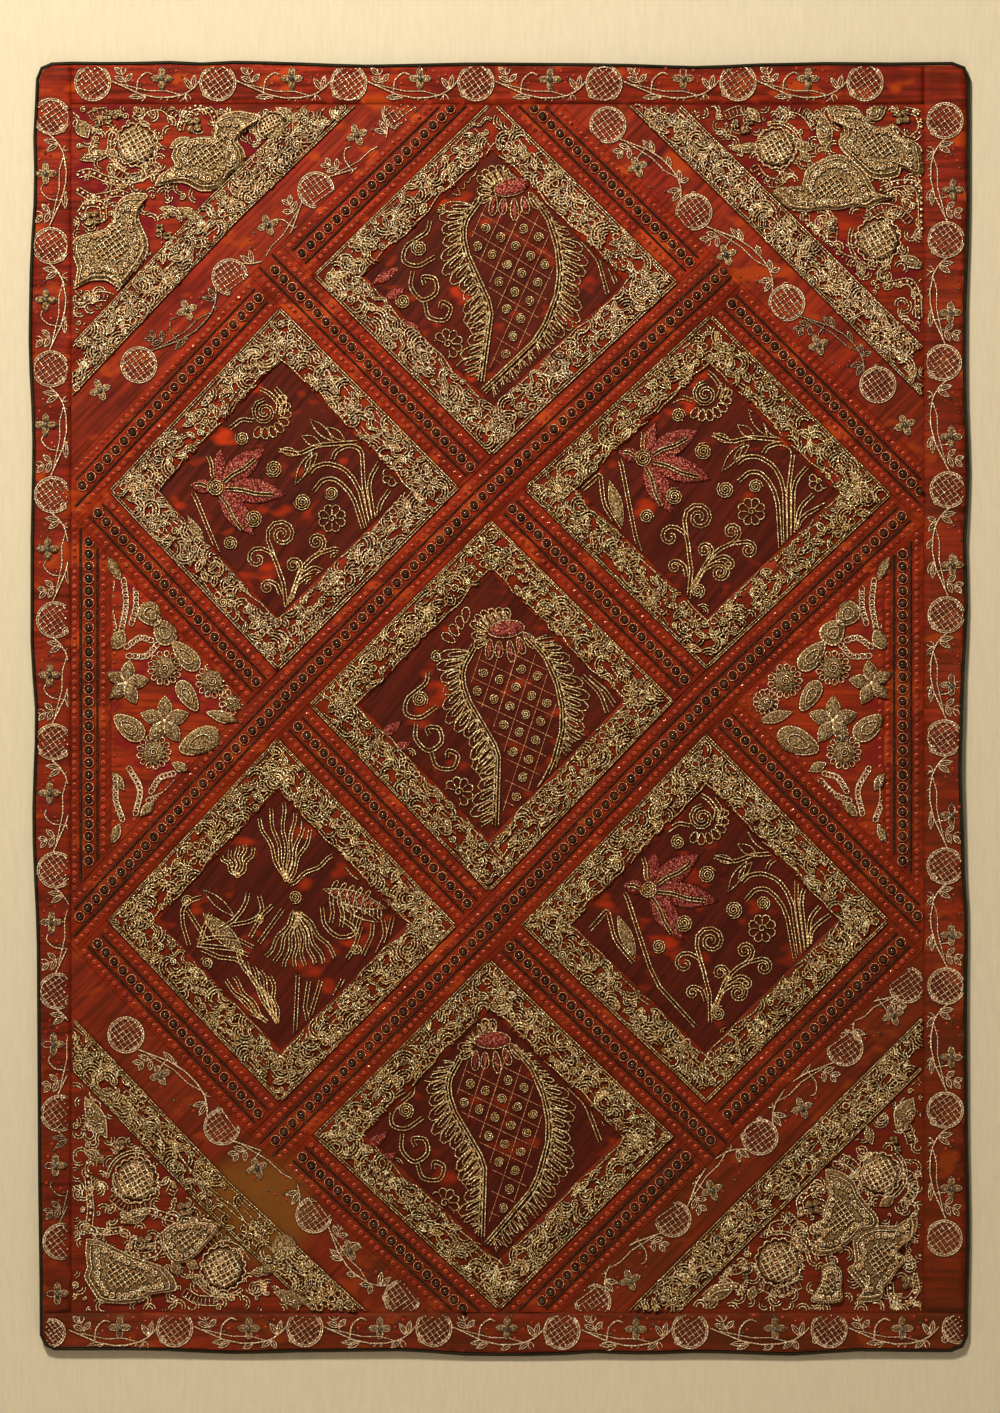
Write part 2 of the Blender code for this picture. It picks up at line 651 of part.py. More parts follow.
def boss_height(bosses, middle, place):
    """Height of the padded forms at one place of a panel, in metres."""
    highest = 0.0
    for boss in bosses:
        angle = math.radians(boss.turn)
        from_boss = place - middle - Vector((boss.across, boss.up)) * MM
        along = from_boss.x * math.cos(angle) + from_boss.y * math.sin(angle)
        aside = from_boss.y * math.cos(angle) - from_boss.x * math.sin(angle)
        reach = (2 * along / (boss.long * MM)) ** 2 + (2 * aside / (boss.wide * MM)) ** 2
        if reach < 1:
            highest = max(highest, boss.high * MM * (1 - reach) ** BOSS_ROUNDING)
    return highest


def panel(name, outline, thickness, material, bosses=(), middle=Vector((0, 0)), cell=PANEL_CELL):
    """A flat patch of cloth whose padded forms are raised in the points of its front."""
    shape = bmesh.new()
    rear = [shape.verts.new((p.x, -PATCH_BACK, p.y)) for p in outline]
    fore = [shape.verts.new((p.x, -PATCH_BACK - thickness, p.y)) for p in outline]
    shape.faces.new(rear)
    front = shape.faces.new(fore)
    for k in range(len(outline)):
        after = (k + 1) % len(outline)
        shape.faces.new((fore[k], fore[after], rear[after], rear[k]))
    if bosses:
        level = -PATCH_BACK - thickness
        for axis in (0, 2):
            low = min(v.co[axis] for v in fore)
            high = max(v.co[axis] for v in fore)
            normal = Vector((1, 0, 0)) if axis == 0 else Vector((0, 0, 1))
            for place in stations(low, high, cell)[1:-1]:
                faces = [f for f in shape.faces if all(abs(v.co.y - level) < 1e-7 for v in f.verts)]
                edges = {e for f in faces for e in f.edges}
                verts = {v for f in faces for v in f.verts}
                bmesh.ops.bisect_plane(
                    shape, geom=list(faces) + list(edges) + list(verts), dist=1e-5,
                    plane_co=normal * place, plane_no=normal,
                )
        faces = [f for f in shape.faces if all(abs(v.co.y - level) < 1e-7 for v in f.verts)]
        bmesh.ops.triangulate(shape, faces=faces)
        for v in shape.verts:
            if abs(v.co.y - level) < 1e-7:
                v.co.y -= boss_height(bosses, middle, Vector((v.co.x, v.co.z)))
    return add_piece(name, shape, material)


# The seven diamonds: corners of the lattice in order, sides on the border, and what is sewn on them
DIAMONDS = (
    ("top", ("foot_top_right", "foot_top_left", "top_left", "centre_top", "top_right"),
     POD_BOSSES, (13, -112)),
    ("upper_left", ("top_left", "edge_upper_left", "middle_left", "centre_top"), STAR_BOSSES, (-257, -382)),
    ("upper_right", ("top_right", "centre_top", "middle_right", "edge_upper_right"), STAR_BOSSES,
     (130, -356)),
    ("centre", ("centre_top", "middle_left", "centre_bottom", "middle_right"), POD_BOSSES, (4, -509)),
    ("lower_left", ("middle_left", "edge_lower_left", "bottom_left", "centre_bottom"), REED_BOSSES,
     (-186, -744)),
    ("lower_right", ("middle_right", "centre_bottom", "bottom_right", "edge_lower_right"), STAR_BOSSES,
     (133, -743)),
    ("bottom", ("centre_bottom", "bottom_left", "foot_bottom_left", "foot_bottom_right", "bottom_right"),
     POD_BOSSES, (-9, -879)),
)


def diamond(name, corner_names, bosses, middle):
    """One diamond of the lattice: its gold frame and the silk panel inside it."""
    corners = [crossing(corner) for corner in corner_names]
    feet = [corner.startswith("foot") for corner in corner_names]
    pairs = list(zip(feet, feet[1:] + feet[:1]))
    outer_gaps = [HALF_GAP if a and b else RIBBON_HALF + HALF_GAP for a, b in pairs]
    outer = inset(corners, outer_gaps)
    sides = [(a, b, gap) for a, b, gap, pair in zip(corners, corners[1:] + corners[:1], outer_gaps, pairs)
             if not all(pair)]
    opening = list(WHOLE_PLANE)
    inner = list(WHOLE_PLANE)
    for start, end, gap in sides:
        opening = clipped(opening, beside(start, end, gap + FRAME_WIDTH))
        inner = clipped(inner, beside(start, end, gap + FRAME_WIDTH + SEAM_GAP))
    matched = [min(opening, key=lambda place, p=corner: (place - p).length) for corner in outer]
    frame_solid("gold_frame_" + name, outer, matched)
    panel("motif_panel_" + name, inner, PANEL_THICKNESS, "panel_silk", bosses, Vector(middle) * MM)


# The four corners: the ribbon beside each, run so that the corner lies on its left
CORNERS = (
    ("top_left", ("foot_top_left", "top_left", "edge_upper_left"), (-1.0, 1.0), ("left", "top")),
    ("top_right", ("edge_upper_right", "top_right", "foot_top_right"), (1.0, 1.0), ("right", "top")),
    ("bottom_left", ("edge_lower_left", "bottom_left", "foot_bottom_left"), (-1.0, -2.0), ("left", "bottom")),
    ("bottom_right", ("foot_bottom_right", "bottom_right", "edge_lower_right"), (1.0, -2.0),
     ("right", "bottom")),
)


def corner_pieces(name, path_names, far_place, border_sides):
    """One corner: the diagonal roundel strip, the gold band inside it and the velvet beyond."""
    path = [crossing(place) for place in path_names]
    sign = 1 if (Vector(far_place) - path[1]).dot(left_of(path[0], path[2])) > 0 else -1
    cuts = [BORDER_CUTS[side] for side in border_sides]
    near = RIBBON_HALF + HALF_GAP
    far = near + DIAGONAL_STRIP - SEAM_GAP
    band_near = far + SEAM_GAP
    band_far = band_near + CORNER_BAND - SEAM_GAP
    strip = offset_path(path, sign * near) + offset_path(path, sign * far)[::-1]
    for cut in cuts:
        strip = clipped(strip, cut)
    panel("roundel_strip_" + name, strip, STRIP_THICKNESS, "border_silk")
    grids = ([], [])
    for share, height in FRAME_PROFILE:
        line = offset_path(path, sign * (band_near + (band_far - band_near) * share))
        places = [cut_end(line[1], line[0], cuts), line[1], cut_end(line[1], line[-1], cuts)]
        places = (
            [places[0].lerp(places[1], s / BAND_LENGTHS) for s in range(BAND_LENGTHS)]
            + [places[1].lerp(places[2], s / BAND_LENGTHS) for s in range(BAND_LENGTHS + 1)]
        )
        grids[0].append([Vector((p.x, -PATCH_BACK - profile_lift(p, height), p.y)) for p in places])
        grids[1].append([Vector((p.x, -PATCH_BACK, p.y)) for p in places])
    grid_solid("gold_band_" + name, grids[0], grids[1], "tarnished_gold_thread")
    edge = offset_path(path, sign * (band_far + SEAM_GAP))
    velvet = edge + [Vector(far_place)]
    for cut in cuts:
        velvet = clipped(velvet, cut)
    panel("velvet_corner_" + name, velvet, PANEL_THICKNESS, "crimson_velvet", CORNER_BOSSES[name])


def half_diamond(name, corner_names, border_side, ribbon_inner):
    """One half diamond at the side: a vertical ribbon along the border, and the panel beyond it."""
    corners = [crossing(corner) for corner in corner_names]
    whole = RIBBON_HALF + HALF_GAP
    outline = list(WHOLE_PLANE)
    for start, end in zip(corners, corners[1:]):
        outline = clipped(outline, beside(start, end, whole))
    outline = clipped(outline, BORDER_CUTS[border_side])
    inward = BORDER_CUTS[border_side][1]
    ribbon_line = Vector((ribbon_inner, 0))
    cloth = clipped(outline, (ribbon_line - inward * HALF_GAP, -inward))
    grids = ([], [])
    edge_x = BORDER_CUTS[border_side][0].x
    inner_x = ribbon_inner - inward.x * HALF_GAP
    for share, height in RIBBON_PROFILE:
        x = edge_x + (inner_x - edge_x) * (share + 1) / 2
        column = crossed_by_upright(cloth, x)
        grids[0].append([Vector((x, -PATCH_BACK - height * MM, up)) for up in column])
        grids[1].append([Vector((x, -PATCH_BACK, up)) for up in column])
    grid_solid("ribbon_upright_" + name, grids[0], grids[1], "ribbon_silk")
    rest = clipped(outline, (ribbon_line + inward * HALF_GAP, inward))
    panel("half_diamond_" + name, rest, PANEL_THICKNESS, "crimson_velvet", HALF_DIAMOND_BOSSES[name])


def crossed_by_upright(outline, x):
    """Lowest and highest places at which an upright line crosses a convex outline."""
    found = []
    for here, after in zip(outline, outline[1:] + outline[:1]):
        low, high = sorted((here.x, after.x))
        if high - low > TOUCH and low - TOUCH <= x <= high + TOUCH:
            found.append(here.y + (after.y - here.y) * (x - here.x) / (after.x - here.x))
    return [min(found), max(found)]


def build():
    """Makes every piece of the hanging."""
    clear_scene()
    ground_cloth()
    edge_piping()
    border_strip("border_left", (0, INNER), (0, LAST_ROW - INNER))
    border_strip("border_right", (LAST_COLUMN - INNER, LAST_COLUMN), (0, LAST_ROW - INNER))
    border_strip("border_top", (INNER, LAST_COLUMN - INNER), (0, INNER))
    border_strip("border_bottom", (0, LAST_COLUMN), (LAST_ROW - INNER, LAST_ROW))
    cuts = ribbon_cuts()
    for row in RIBBONS:
        ribbon(row, cuts)
    for name, corner_names, bosses, middle in DIAMONDS:
        diamond(name, corner_names, bosses, middle)
    for name, path_names, far_place, border_sides in CORNERS:
        corner_pieces(name, path_names, far_place, border_sides)
    half_diamond("left", ("edge_lower_left", "middle_left", "edge_upper_left"), "left",
                 BORDER_LEFT + VERTICAL_RIBBON)
    half_diamond("right", ("edge_upper_right", "middle_right", "edge_lower_right"), "right",
                 BORDER_RIGHT - VERTICAL_RIBBON)


build()
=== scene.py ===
"""Looks of an embroidered patchwork wall hanging: silk, velvet, metal thread, beads and sequins."""

import logging
import math
from dataclasses import dataclass, field
from enum import Enum
from typing import Callable, Sequence, Union

import bmesh
import bpy
import numpy as np
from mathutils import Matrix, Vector
from mathutils.bvhtree import BVHTree


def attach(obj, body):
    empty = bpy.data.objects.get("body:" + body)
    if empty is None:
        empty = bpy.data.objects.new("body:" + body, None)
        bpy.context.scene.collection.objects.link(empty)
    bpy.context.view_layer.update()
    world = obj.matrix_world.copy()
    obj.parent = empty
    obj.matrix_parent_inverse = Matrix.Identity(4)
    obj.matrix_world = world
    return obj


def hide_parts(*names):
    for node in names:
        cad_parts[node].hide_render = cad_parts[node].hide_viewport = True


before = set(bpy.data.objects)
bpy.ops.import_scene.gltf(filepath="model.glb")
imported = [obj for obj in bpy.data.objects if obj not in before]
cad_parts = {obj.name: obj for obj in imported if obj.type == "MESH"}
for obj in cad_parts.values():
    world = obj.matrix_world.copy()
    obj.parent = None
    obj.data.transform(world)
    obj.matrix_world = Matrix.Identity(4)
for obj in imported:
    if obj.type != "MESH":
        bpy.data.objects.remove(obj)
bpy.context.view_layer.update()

LOG = logging.getLogger("hanging")
MM = 0.001
BODY = "root"
TAU = 2 * math.pi
# The middle of the place where the thread is worn off, and how far that reaches
BARE_PLACE = (-0.2165, -1.0305)
BARE_REACH = 46 * MM
BARE_SHARE = 0.8
BARE_SILK = (0.20, 0.085, 0.018)
# How far a cord's path may be straightened, and the sizes up to which beads and spangles are simpler
CORD_SLACK = 0.26 * MM
SMALL_BEAD = 2 * MM
SMALL_SPANGLE = 1.3 * MM
# A face whose normal points forward past this share is part of a front
FORWARD = -0.3
# How close to the back a corner has to be to lie in it, in metres
BACK_SLACK = 1e-5

Path = np.ndarray
Colour = tuple[float, float, float]
Height = Callable[[np.ndarray], np.ndarray]
Socket = bpy.types.NodeSocket
Fed = Union[bpy.types.NodeSocket, float, tuple]


class Look(Enum):
    """The finishes that pieces are dressed in, by material name."""

    BACKING = "backing_cotton"
    PIPING = "piping_silk"
    BORDER = "border_shot_silk"
    STRIP = "strip_shot_silk"
    HALF = "half_diamond_silk"
    RIBBON = "ribbon_red_silk"
    FRAME_GROUND = "frame_red_silk"
    PANEL = "panel_worn_silk"
    VELVET = "crimson_velvet"
    GOLD = "tarnished_gold_coil"
    PALE_GOLD = "pale_gold_coil"
    SILVER = "grey_silver_thread"
    BLACK_CORD = "dark_twisted_cord"
    PINK = "pink_spangle_fill"
    PINK_THREAD = "pink_red_thread"
    BEAD = "smoky_glass_bead"
    BLUE_BEAD = "blue_grey_bead"
    SEQUIN = "red_sequin"
    PADDED = "champagne_padded_gold"


# Shared shader node groups

def shader_group(name: str, inputs: Sequence[tuple], outputs: Sequence[tuple]) -> bpy.types.NodeTree:
    """Starts a shader node group with named sockets.

    Args:
        name: The group's name.
        inputs: Name, socket type and default value of each input.
        outputs: Name and socket type of each output.

    Returns:
        The group, with its two end nodes named Group Input and Group Output.
    """
    group = bpy.data.node_groups.new(name, "ShaderNodeTree")
    for label, kind, value in inputs:
        group.interface.new_socket(name=label, in_out="INPUT", socket_type=kind).default_value = value
    for label, kind in outputs:
        group.interface.new_socket(name=label, in_out="OUTPUT", socket_type=kind)
    group.nodes.new("NodeGroupInput").name = "Group Input"
    group.nodes.new("NodeGroupOutput").name = "Group Output"
    return group


@dataclass
class Wiring:
    """Adds nodes to one tree and joins them, so that each finish reads as a short recipe."""

    tree: bpy.types.NodeTree

    def node(self, kind: str, settings: dict | None = None, **values) -> bpy.types.Node:
        """Adds one node.

        Args:
            kind: Its type.
            settings: Properties of the node.
            **values: Input values or sockets, by input name with spaces as underscores, or i0, i1.

        Returns:
            The new node.
        """
        made = self.tree.nodes.new(kind)
        for key, value in (settings or {}).items():
            setattr(made, key, value)
        self.settle(made, **values)
        return made

    def settle(self, node: bpy.types.Node, **values) -> None:
        """Sets or joins inputs of a node, named as for node."""
        for key, value in values.items():
            place = int(key[1:]) if key[0] == "i" and key[1:].isdigit() else key.replace("_", " ")
            self.feed(node.inputs[place], value)

    def feed(self, socket: Socket, value: Fed) -> None:
        """Joins a socket to an input, or sets the input's own value."""
        if isinstance(value, Socket):
            self.tree.links.new(value, socket)
        elif isinstance(value, tuple) and len(value) == 3 and socket.type == "RGBA":
            socket.default_value = (*value, 1.0)
        else:
            socket.default_value = value

    def math(self, operation: str, first: Fed, second: Fed = 0.0, third: Fed = 0.0,
             clamp: bool = False) -> Socket:
        """One maths node's value output."""
        made = self.node("ShaderNodeMath", {"operation": operation, "use_clamp": clamp}, i0=first,
                         i1=second)
        if operation == "MULTIPLY_ADD":
            self.feed(made.inputs[2], third)
        return made.outputs[0]

    def noise(self, place: Socket, scale: float, detail: float = 3.0, roughness: float = 0.55) -> Socket:
        """A noise texture's value output at a scale per metre."""
        made = self.node("ShaderNodeTexNoise", Vector=place, Scale=scale, Detail=detail,
                         Roughness=roughness)
        return made.outputs["Fac"]

    def ramp(self, value: Fed, low: Fed, high: Fed, start: float = 0.0, end: float = 1.0) -> Socket:
        """A value mapped from low and high to start and end, and held there beyond them."""
        made = self.node("ShaderNodeMapRange", None, Value=value, From_Min=low, From_Max=high)
        made.inputs["To Min"].default_value = start
        made.inputs["To Max"].default_value = end
        return made.outputs["Result"]

    def mix(self, share: Fed, first: Fed, second: Fed) -> Socket:
        """A colour between two others."""
        made = self.node("ShaderNodeMix", {"data_type": "RGBA"})
        self.feed(made.inputs[0], share)
        self.feed(made.inputs[6], first)
        self.feed(made.inputs[7], second)
        return made.outputs[2]

    def stretched(self, place: Socket, scale: Colour, turn: float = 0.0) -> Socket:
        """Coordinates stretched and turned about the viewing axis."""
        made = self.node("ShaderNodeMapping", None, Vector=place, Scale=scale, Rotation=(0.0, turn, 0.0))
        return made.outputs[0]

    def place(self) -> Socket:
        """The piece's own coordinates, in metres."""
        return self.node("ShaderNodeTexCoord").outputs["Object"]

    def stored(self, name: str) -> Socket:
        """A number stored on the mesh."""
        return self.node("ShaderNodeAttribute", {"attribute_name": name}).outputs["Fac"]

    def effect(self, group: bpy.types.NodeTree, **values) -> bpy.types.bpy_prop_collection:
        """The outputs of a shared effect."""
        return self.node("ShaderNodeGroup", {"node_tree": group}, **values).outputs

    def bump(self, shader: bpy.types.Node, height: Socket, distance: float, strength: float) -> None:
        """Bumps a shader's surface by a height."""
        made = self.node("ShaderNodeBump", None, Height=height, Distance=distance, Strength=strength)
        self.feed(shader.inputs["Normal"], made.outputs[0])


class SharedEffects:
    """Node groups that several finishes place with their own values."""

    def __init__(self) -> None:
        """Builds the weave, wear and coil groups."""
        self.weave = self.build_weave()
        self.wear = self.build_wear()
        self.coil = self.build_coil()

    @staticmethod
    def build_weave() -> bpy.types.NodeTree:
        """Ribbed shot silk: two thread colours that show by turns with painted shade and painted light on
        its creases, and the height of its ribs and slubs.
        """
        group = shader_group(
            "shot_weave",
            [("Vector", "NodeSocketVector", (0, 0, 0)), ("Weft", "NodeSocketColor", (1, 1, 1, 1)),
             ("Warp", "NodeSocketColor", (0, 0, 0, 1)), ("Ribs", "NodeSocketFloat", 4600.0),
             ("Shot", "NodeSocketFloat", 0.5), ("Turn", "NodeSocketVector", (0, 0, 0))],
            [("Color", "NodeSocketColor"), ("Height", "NodeSocketFloat"), ("Patch", "NodeSocketFloat")],
        )
        w = Wiring(group)
        source = group.nodes["Group Input"].outputs
        turned = w.node("ShaderNodeVectorRotate", {"rotation_type": "EULER_XYZ"}, Vector=source["Vector"],
                        Rotation=source["Turn"]).outputs[0]
        parts = w.node("ShaderNodeSeparateXYZ", None, Vector=turned)
        across = w.math("SINE", w.math("MULTIPLY", parts.outputs["Z"], source["Ribs"]))
        along = w.math("SINE", w.math("MULTIPLY", parts.outputs["X"],
                                      w.math("MULTIPLY", source["Ribs"], 0.7)))
        slub = w.noise(w.stretched(turned, (14.0, 60.0, 420.0)), 1.0, 3.0)
        patch = w.noise(w.stretched(turned, (16.0, 16.0, 30.0)), 1.0, 4.0, 0.62)
        share = w.math("MULTIPLY", w.ramp(w.math("ADD", patch, w.math("MULTIPLY", slub, 0.25)), 0.5, 0.78),
                       source["Shot"])
        weave = w.math("MULTIPLY_ADD", across, 0.03, w.math("MULTIPLY", along, 0.02))
        shot = w.math("ADD", share, weave, clamp=True)
        # Creases: their hollows are painted darker as painted shade and their ridges lighter as painted
        # light, and they also raise the bump
        crease_and_painted_shade = w.noise(w.stretched(turned, (11.0, 60.0, 230.0)), 1.0, 4.0, 0.62)
        colour = w.node("ShaderNodeVectorMath", {"operation": "SCALE"},
                        i0=w.mix(shot, source["Weft"], source["Warp"]),
                        Scale=w.ramp(crease_and_painted_shade, 0.33, 0.62, 0.42, 1.18)).outputs[0]
        height = w.math("MULTIPLY_ADD", across, 0.1,
                        w.math("MULTIPLY_ADD", crease_and_painted_shade, 3.4, w.math("MULTIPLY", along, 0.2)))
        out = group.nodes["Group Output"].inputs
        w.feed(out["Color"], colour)
        w.feed(out["Height"], height)
        w.feed(out["Patch"], patch)
        return group

    @staticmethod
    def build_wear() -> bpy.types.NodeTree:
        """A mask that darkens the hanging towards the bottom, towards the right and in blotches, and one of
        worn-through patches.
        """
        group = shader_group(
            "darkening_and_wear",
            [("Vector", "NodeSocketVector", (0, 0, 0)), ("Patch Scale", "NodeSocketFloat", 22.0),
             ("Worn", "NodeSocketFloat", 0.5), ("Edge", "NodeSocketFloat", 0.06)],
            [("Darkening", "NodeSocketFloat"), ("Worn", "NodeSocketFloat"), ("Bare", "NodeSocketFloat")],
        )
        w = Wiring(group)
        source = group.nodes["Group Input"].outputs
        parts = w.node("ShaderNodeSeparateXYZ", None, Vector=source["Vector"])
        # Darker towards the bottom and towards the right, and in slow blotches
        low = w.ramp(parts.outputs["Z"], -0.15, -1.15)
        right = w.ramp(parts.outputs["X"], -0.1, 0.42)
        blotch = w.noise(source["Vector"], 9.0, 4.0)
        low_and_right = w.math("MULTIPLY_ADD", low, 0.72, w.math("MULTIPLY", right, 0.2))
        darkening = w.math("MULTIPLY", w.math("ADD", low_and_right, w.ramp(blotch, 0.4, 0.75, 0.0, 0.4)), 0.8,
                      clamp=True)
        rough = w.noise(w.stretched(source["Vector"], (1.0, 1.0, 1.6), 0.7), source["Patch Scale"], 2.0,
                        0.7)
        worn = w.ramp(w.math("SUBTRACT", rough, source["Worn"]), 0.0, source["Edge"])
        far = w.node("ShaderNodeVectorMath", {"operation": "DISTANCE"}, i0=source["Vector"],
                     i1=(BARE_PLACE[0], -0.004, BARE_PLACE[1]))
        bare = w.ramp(w.math("MULTIPLY_ADD", blotch, 0.06, far.outputs["Value"]), 0.088, 0.064)
        w.feed(group.nodes["Group Output"].inputs["Bare"], bare)
        w.feed(group.nodes["Group Output"].inputs["Darkening"], darkening)
        w.feed(group.nodes["Group Output"].inputs["Worn"], worn)
        return group

    @staticmethod
    def build_coil() -> bpy.types.NodeTree:
        """Coiled metal thread: height of its turns, and masks of its tarnish, its painted highlights and its
        lit top, outside which the sides get painted shade.
        """
        group = shader_group(
            "coiled_thread",
            [("Vector", "NodeSocketVector", (0, 0, 0)), ("Along", "NodeSocketFloat", 0.0),
             ("Tone", "NodeSocketFloat", 0.5), ("Pitch", "NodeSocketFloat", 0.0031),
             ("Crown", "NodeSocketFloat", 1.0)],
            [("Height", "NodeSocketFloat"), ("Painted Highlight", "NodeSocketFloat"), ("Tarnish", "NodeSocketFloat"),
             ("Top", "NodeSocketFloat")],
        )
        w = Wiring(group)
        source = group.nodes["Group Input"].outputs
        turn = w.math("MULTIPLY", w.math("DIVIDE", source["Along"], source["Pitch"]), TAU)
        grain = w.noise(source["Vector"], 620.0, 2.0, 0.7)
        ridge = w.math("SINE", w.math("MULTIPLY_ADD", grain, 5.0, turn))
        large = w.noise(source["Vector"], 55.0, 4.0, 0.65)
        # Painted highlights: brighter where the cord faces forward, along its turns and in small random
        # flecks
        lit = w.math("MULTIPLY_ADD", source["Crown"], 0.22, w.math("MULTIPLY_ADD", ridge, 0.07, grain))
        painted_fleck = w.ramp(w.noise(source["Vector"], 330.0, 1.0, 0.5), 0.575, 0.63)
        painted_highlight = w.math("MAXIMUM", w.ramp(lit, 0.66, 0.80), painted_fleck)
        tarnish = w.ramp(w.math("MULTIPLY_ADD", large, 0.8, w.math("MULTIPLY", source["Tone"], 0.4)), 0.42,
                         0.8)
        # The lit top is where the cord faces forward; its sides that face away get painted shade
        top = w.ramp(w.math("MULTIPLY_ADD", ridge, 0.08, source["Crown"]), 0.12, 0.70)
        out = group.nodes["Group Output"].inputs
        w.feed(out["Height"], w.math("MULTIPLY_ADD", ridge, 0.5, grain))
        w.feed(out["Painted Highlight"], w.math("MULTIPLY", painted_highlight, top))
        w.feed(out["Tarnish"], tarnish)
        w.feed(out["Top"], top)
        return group


def new_material(name: str) -> tuple[bpy.types.Material, Wiring, bpy.types.Node]:
    """A material with a Principled shader.

    Args:
        name: The material's name.

    Returns:
        The material, the wiring of its tree and its Principled node.
    """
    made = bpy.data.materials.new(name)
    made.use_nodes = True
    return made, Wiring(made.node_tree), made.node_tree.nodes["Principled BSDF"]


@dataclass(frozen=True)
class SilkFinish:
    """Woven silk with two thread colours and painted shade in its creases, darker towards the bottom and
    right and, where asked, with patches worn through to a third.
    """

    look: Look
    weft: Colour
    warp: Colour
    darkening: Colour
    worn: Colour = (0.5, 0.06, 0.01)
    worn_above: float = 2.0
    worn_edge: float = 0.08
    shot: float = 0.8
    turn: float = 0.0
    roughness: float = 0.55
    sheen: float = 0.08
    bump: float = 0.5

    def build(self, effects: SharedEffects) -> bpy.types.Material:
        """The finish as a material."""
        made, w, shader = new_material(self.look.value)
        place = w.place()
        weave = w.effect(effects.weave, Vector=place, Weft=self.weft, Warp=self.warp, Shot=self.shot,
                         Turn=(0.0, self.turn, 0.0))
        wear = w.effect(effects.wear, Vector=place, Worn=self.worn_above, Edge=self.worn_edge)
        cloth = w.mix(wear["Worn"], weave["Color"], self.worn)
        # Darker towards the bottom and right
        darkened = w.mix(w.math("MULTIPLY", wear["Darkening"], 0.85), cloth, self.darkening)
        darkened = w.mix(w.math("MULTIPLY", wear["Bare"], 0.85), darkened, BARE_SILK)
        rough = w.ramp(weave["Patch"], 0.3, 0.7, self.roughness - 0.08, self.roughness + 0.12)
        w.settle(shader, Base_Color=darkened, Roughness=rough, Sheen_Weight=self.sheen, Sheen_Roughness=0.4,
                 Sheen_Tint=(1.0, 0.45, 0.2), Specular_IOR_Level=0.12)
        w.bump(shader, weave["Height"], 0.3 * MM, self.bump)
        return made


@dataclass(frozen=True)
class KnottedFinish:
    """Padding covered with close knots of metal thread or spangles, with painted shade between them and on
    sides that face away, and painted highlights on them.
    """

    look: Look
    highlight_colour: Colour
    body: Colour
    # Painted shade between the knots and on sides that face away; the darkening low on the hanging also goes
    # towards it
    gap: Colour
    knots: float = 390.0
    metallic: float = 0.6
    roughness: float = 0.4

    def build(self, effects: SharedEffects) -> bpy.types.Material:
        """The finish as a material."""
        made, w, shader = new_material(self.look.value)
        place = w.place()
        cell = w.node("ShaderNodeTexVoronoi", None, Vector=place, Scale=self.knots).outputs["Distance"]
        crown = w.stored("crown")
        grain = w.noise(place, 700.0, 2.0, 0.7)
        # Painted shade between knots and where the pad faces away; painted highlights on the knots
        knot_lit_share = w.math("MULTIPLY", w.ramp(cell, 0.62, 0.2), w.ramp(crown, 0.1, 0.75))
        colour = w.mix(knot_lit_share, self.gap, self.body)
        painted_highlight = w.math("MULTIPLY", w.ramp(grain, 0.5, 0.68), knot_lit_share)
        # Darker towards the bottom and right
        darkening = w.effect(effects.wear, Vector=place)["Darkening"]
        final_colour = w.mix(w.math("MULTIPLY", darkening, 0.7), w.mix(painted_highlight, colour, self.highlight_colour), self.gap)
        rough = w.ramp(grain, 0.3, 0.7, self.roughness + 0.15, self.roughness - 0.1)
        w.settle(shader, Base_Color=final_colour, Roughness=rough, Metallic=self.metallic)
        w.bump(shader, w.math("SUBTRACT", grain, cell), 1.2 * MM, 0.8)
        return made


@dataclass(frozen=True)
class ThreadFinish:
    """Metal, silk or spangled thread laid in cords, read along the cord by its own attributes, with painted
    highlights and painted shade on its sides.
    """

    look: Look
    highlight_colour: Colour
    body: Colour
    tarnish: Colour
    metallic: float = 0.68
    roughness: float = 0.30
    pitch: float = 0.0031
    bump: float = 0.9
    # Painted shade on the sides of the cord that face away
    gap: Colour = (0.040, 0.013, 0.004)

    def build(self, effects: SharedEffects) -> bpy.types.Material:
        """The finish as a material."""
        made, w, shader = new_material(self.look.value)
        thread = w.effect(effects.coil, Vector=w.place(), Along=w.stored("along"), Tone=w.stored("tone"),
                          Pitch=self.pitch, Crown=w.stored("crown"))
        # Tarnish is the thread's own colour; the highlight colour is a painted highlight, and the gap colour
        # paints shade on the sides
        colour = w.mix(thread["Tarnish"], self.body, self.tarnish)
        colour = w.mix(thread["Painted Highlight"], colour, self.highlight_colour)
        colour = w.mix(thread["Top"], self.gap, colour)
        metal = w.ramp(thread["Painted Highlight"], 0.0, 1.0, self.metallic, 0.25)
        rough = w.ramp(thread["Painted Highlight"], 0.0, 1.0, self.roughness + 0.14, self.roughness - 0.08)
        w.settle(shader, Base_Color=colour, Metallic=metal, Roughness=rough)
        w.bump(shader, thread["Height"], 0.6 * MM, self.bump)
        return made


@dataclass(frozen=True)
class BeadFinish:
    """Glossy glass or spangle with small differences from one to the next."""

    look: Look
    dark: Colour
    light: Colour
    metallic: float = 0.0
    roughness: float = 0.12
    coat: float = 0.6
    heart: Colour | None = None

    def build(self, effects: SharedEffects) -> bpy.types.Material:
        """The finish as a material."""
        made, w, shader = new_material(self.look.value)
        vary = w.noise(w.place(), 90.0, 2.0)
        colour = w.mix(w.ramp(vary, 0.35, 0.68), self.dark, self.light)
        if self.heart:
            colour = w.mix(w.ramp(w.stored("heart"), 0.40, 0.62), self.heart, colour)
        rough = w.ramp(vary, 0.3, 0.7, self.roughness, self.roughness + 0.15)
        w.settle(shader, Base_Color=colour, Roughness=rough, Metallic=self.metallic, Coat_Weight=self.coat)
        return made
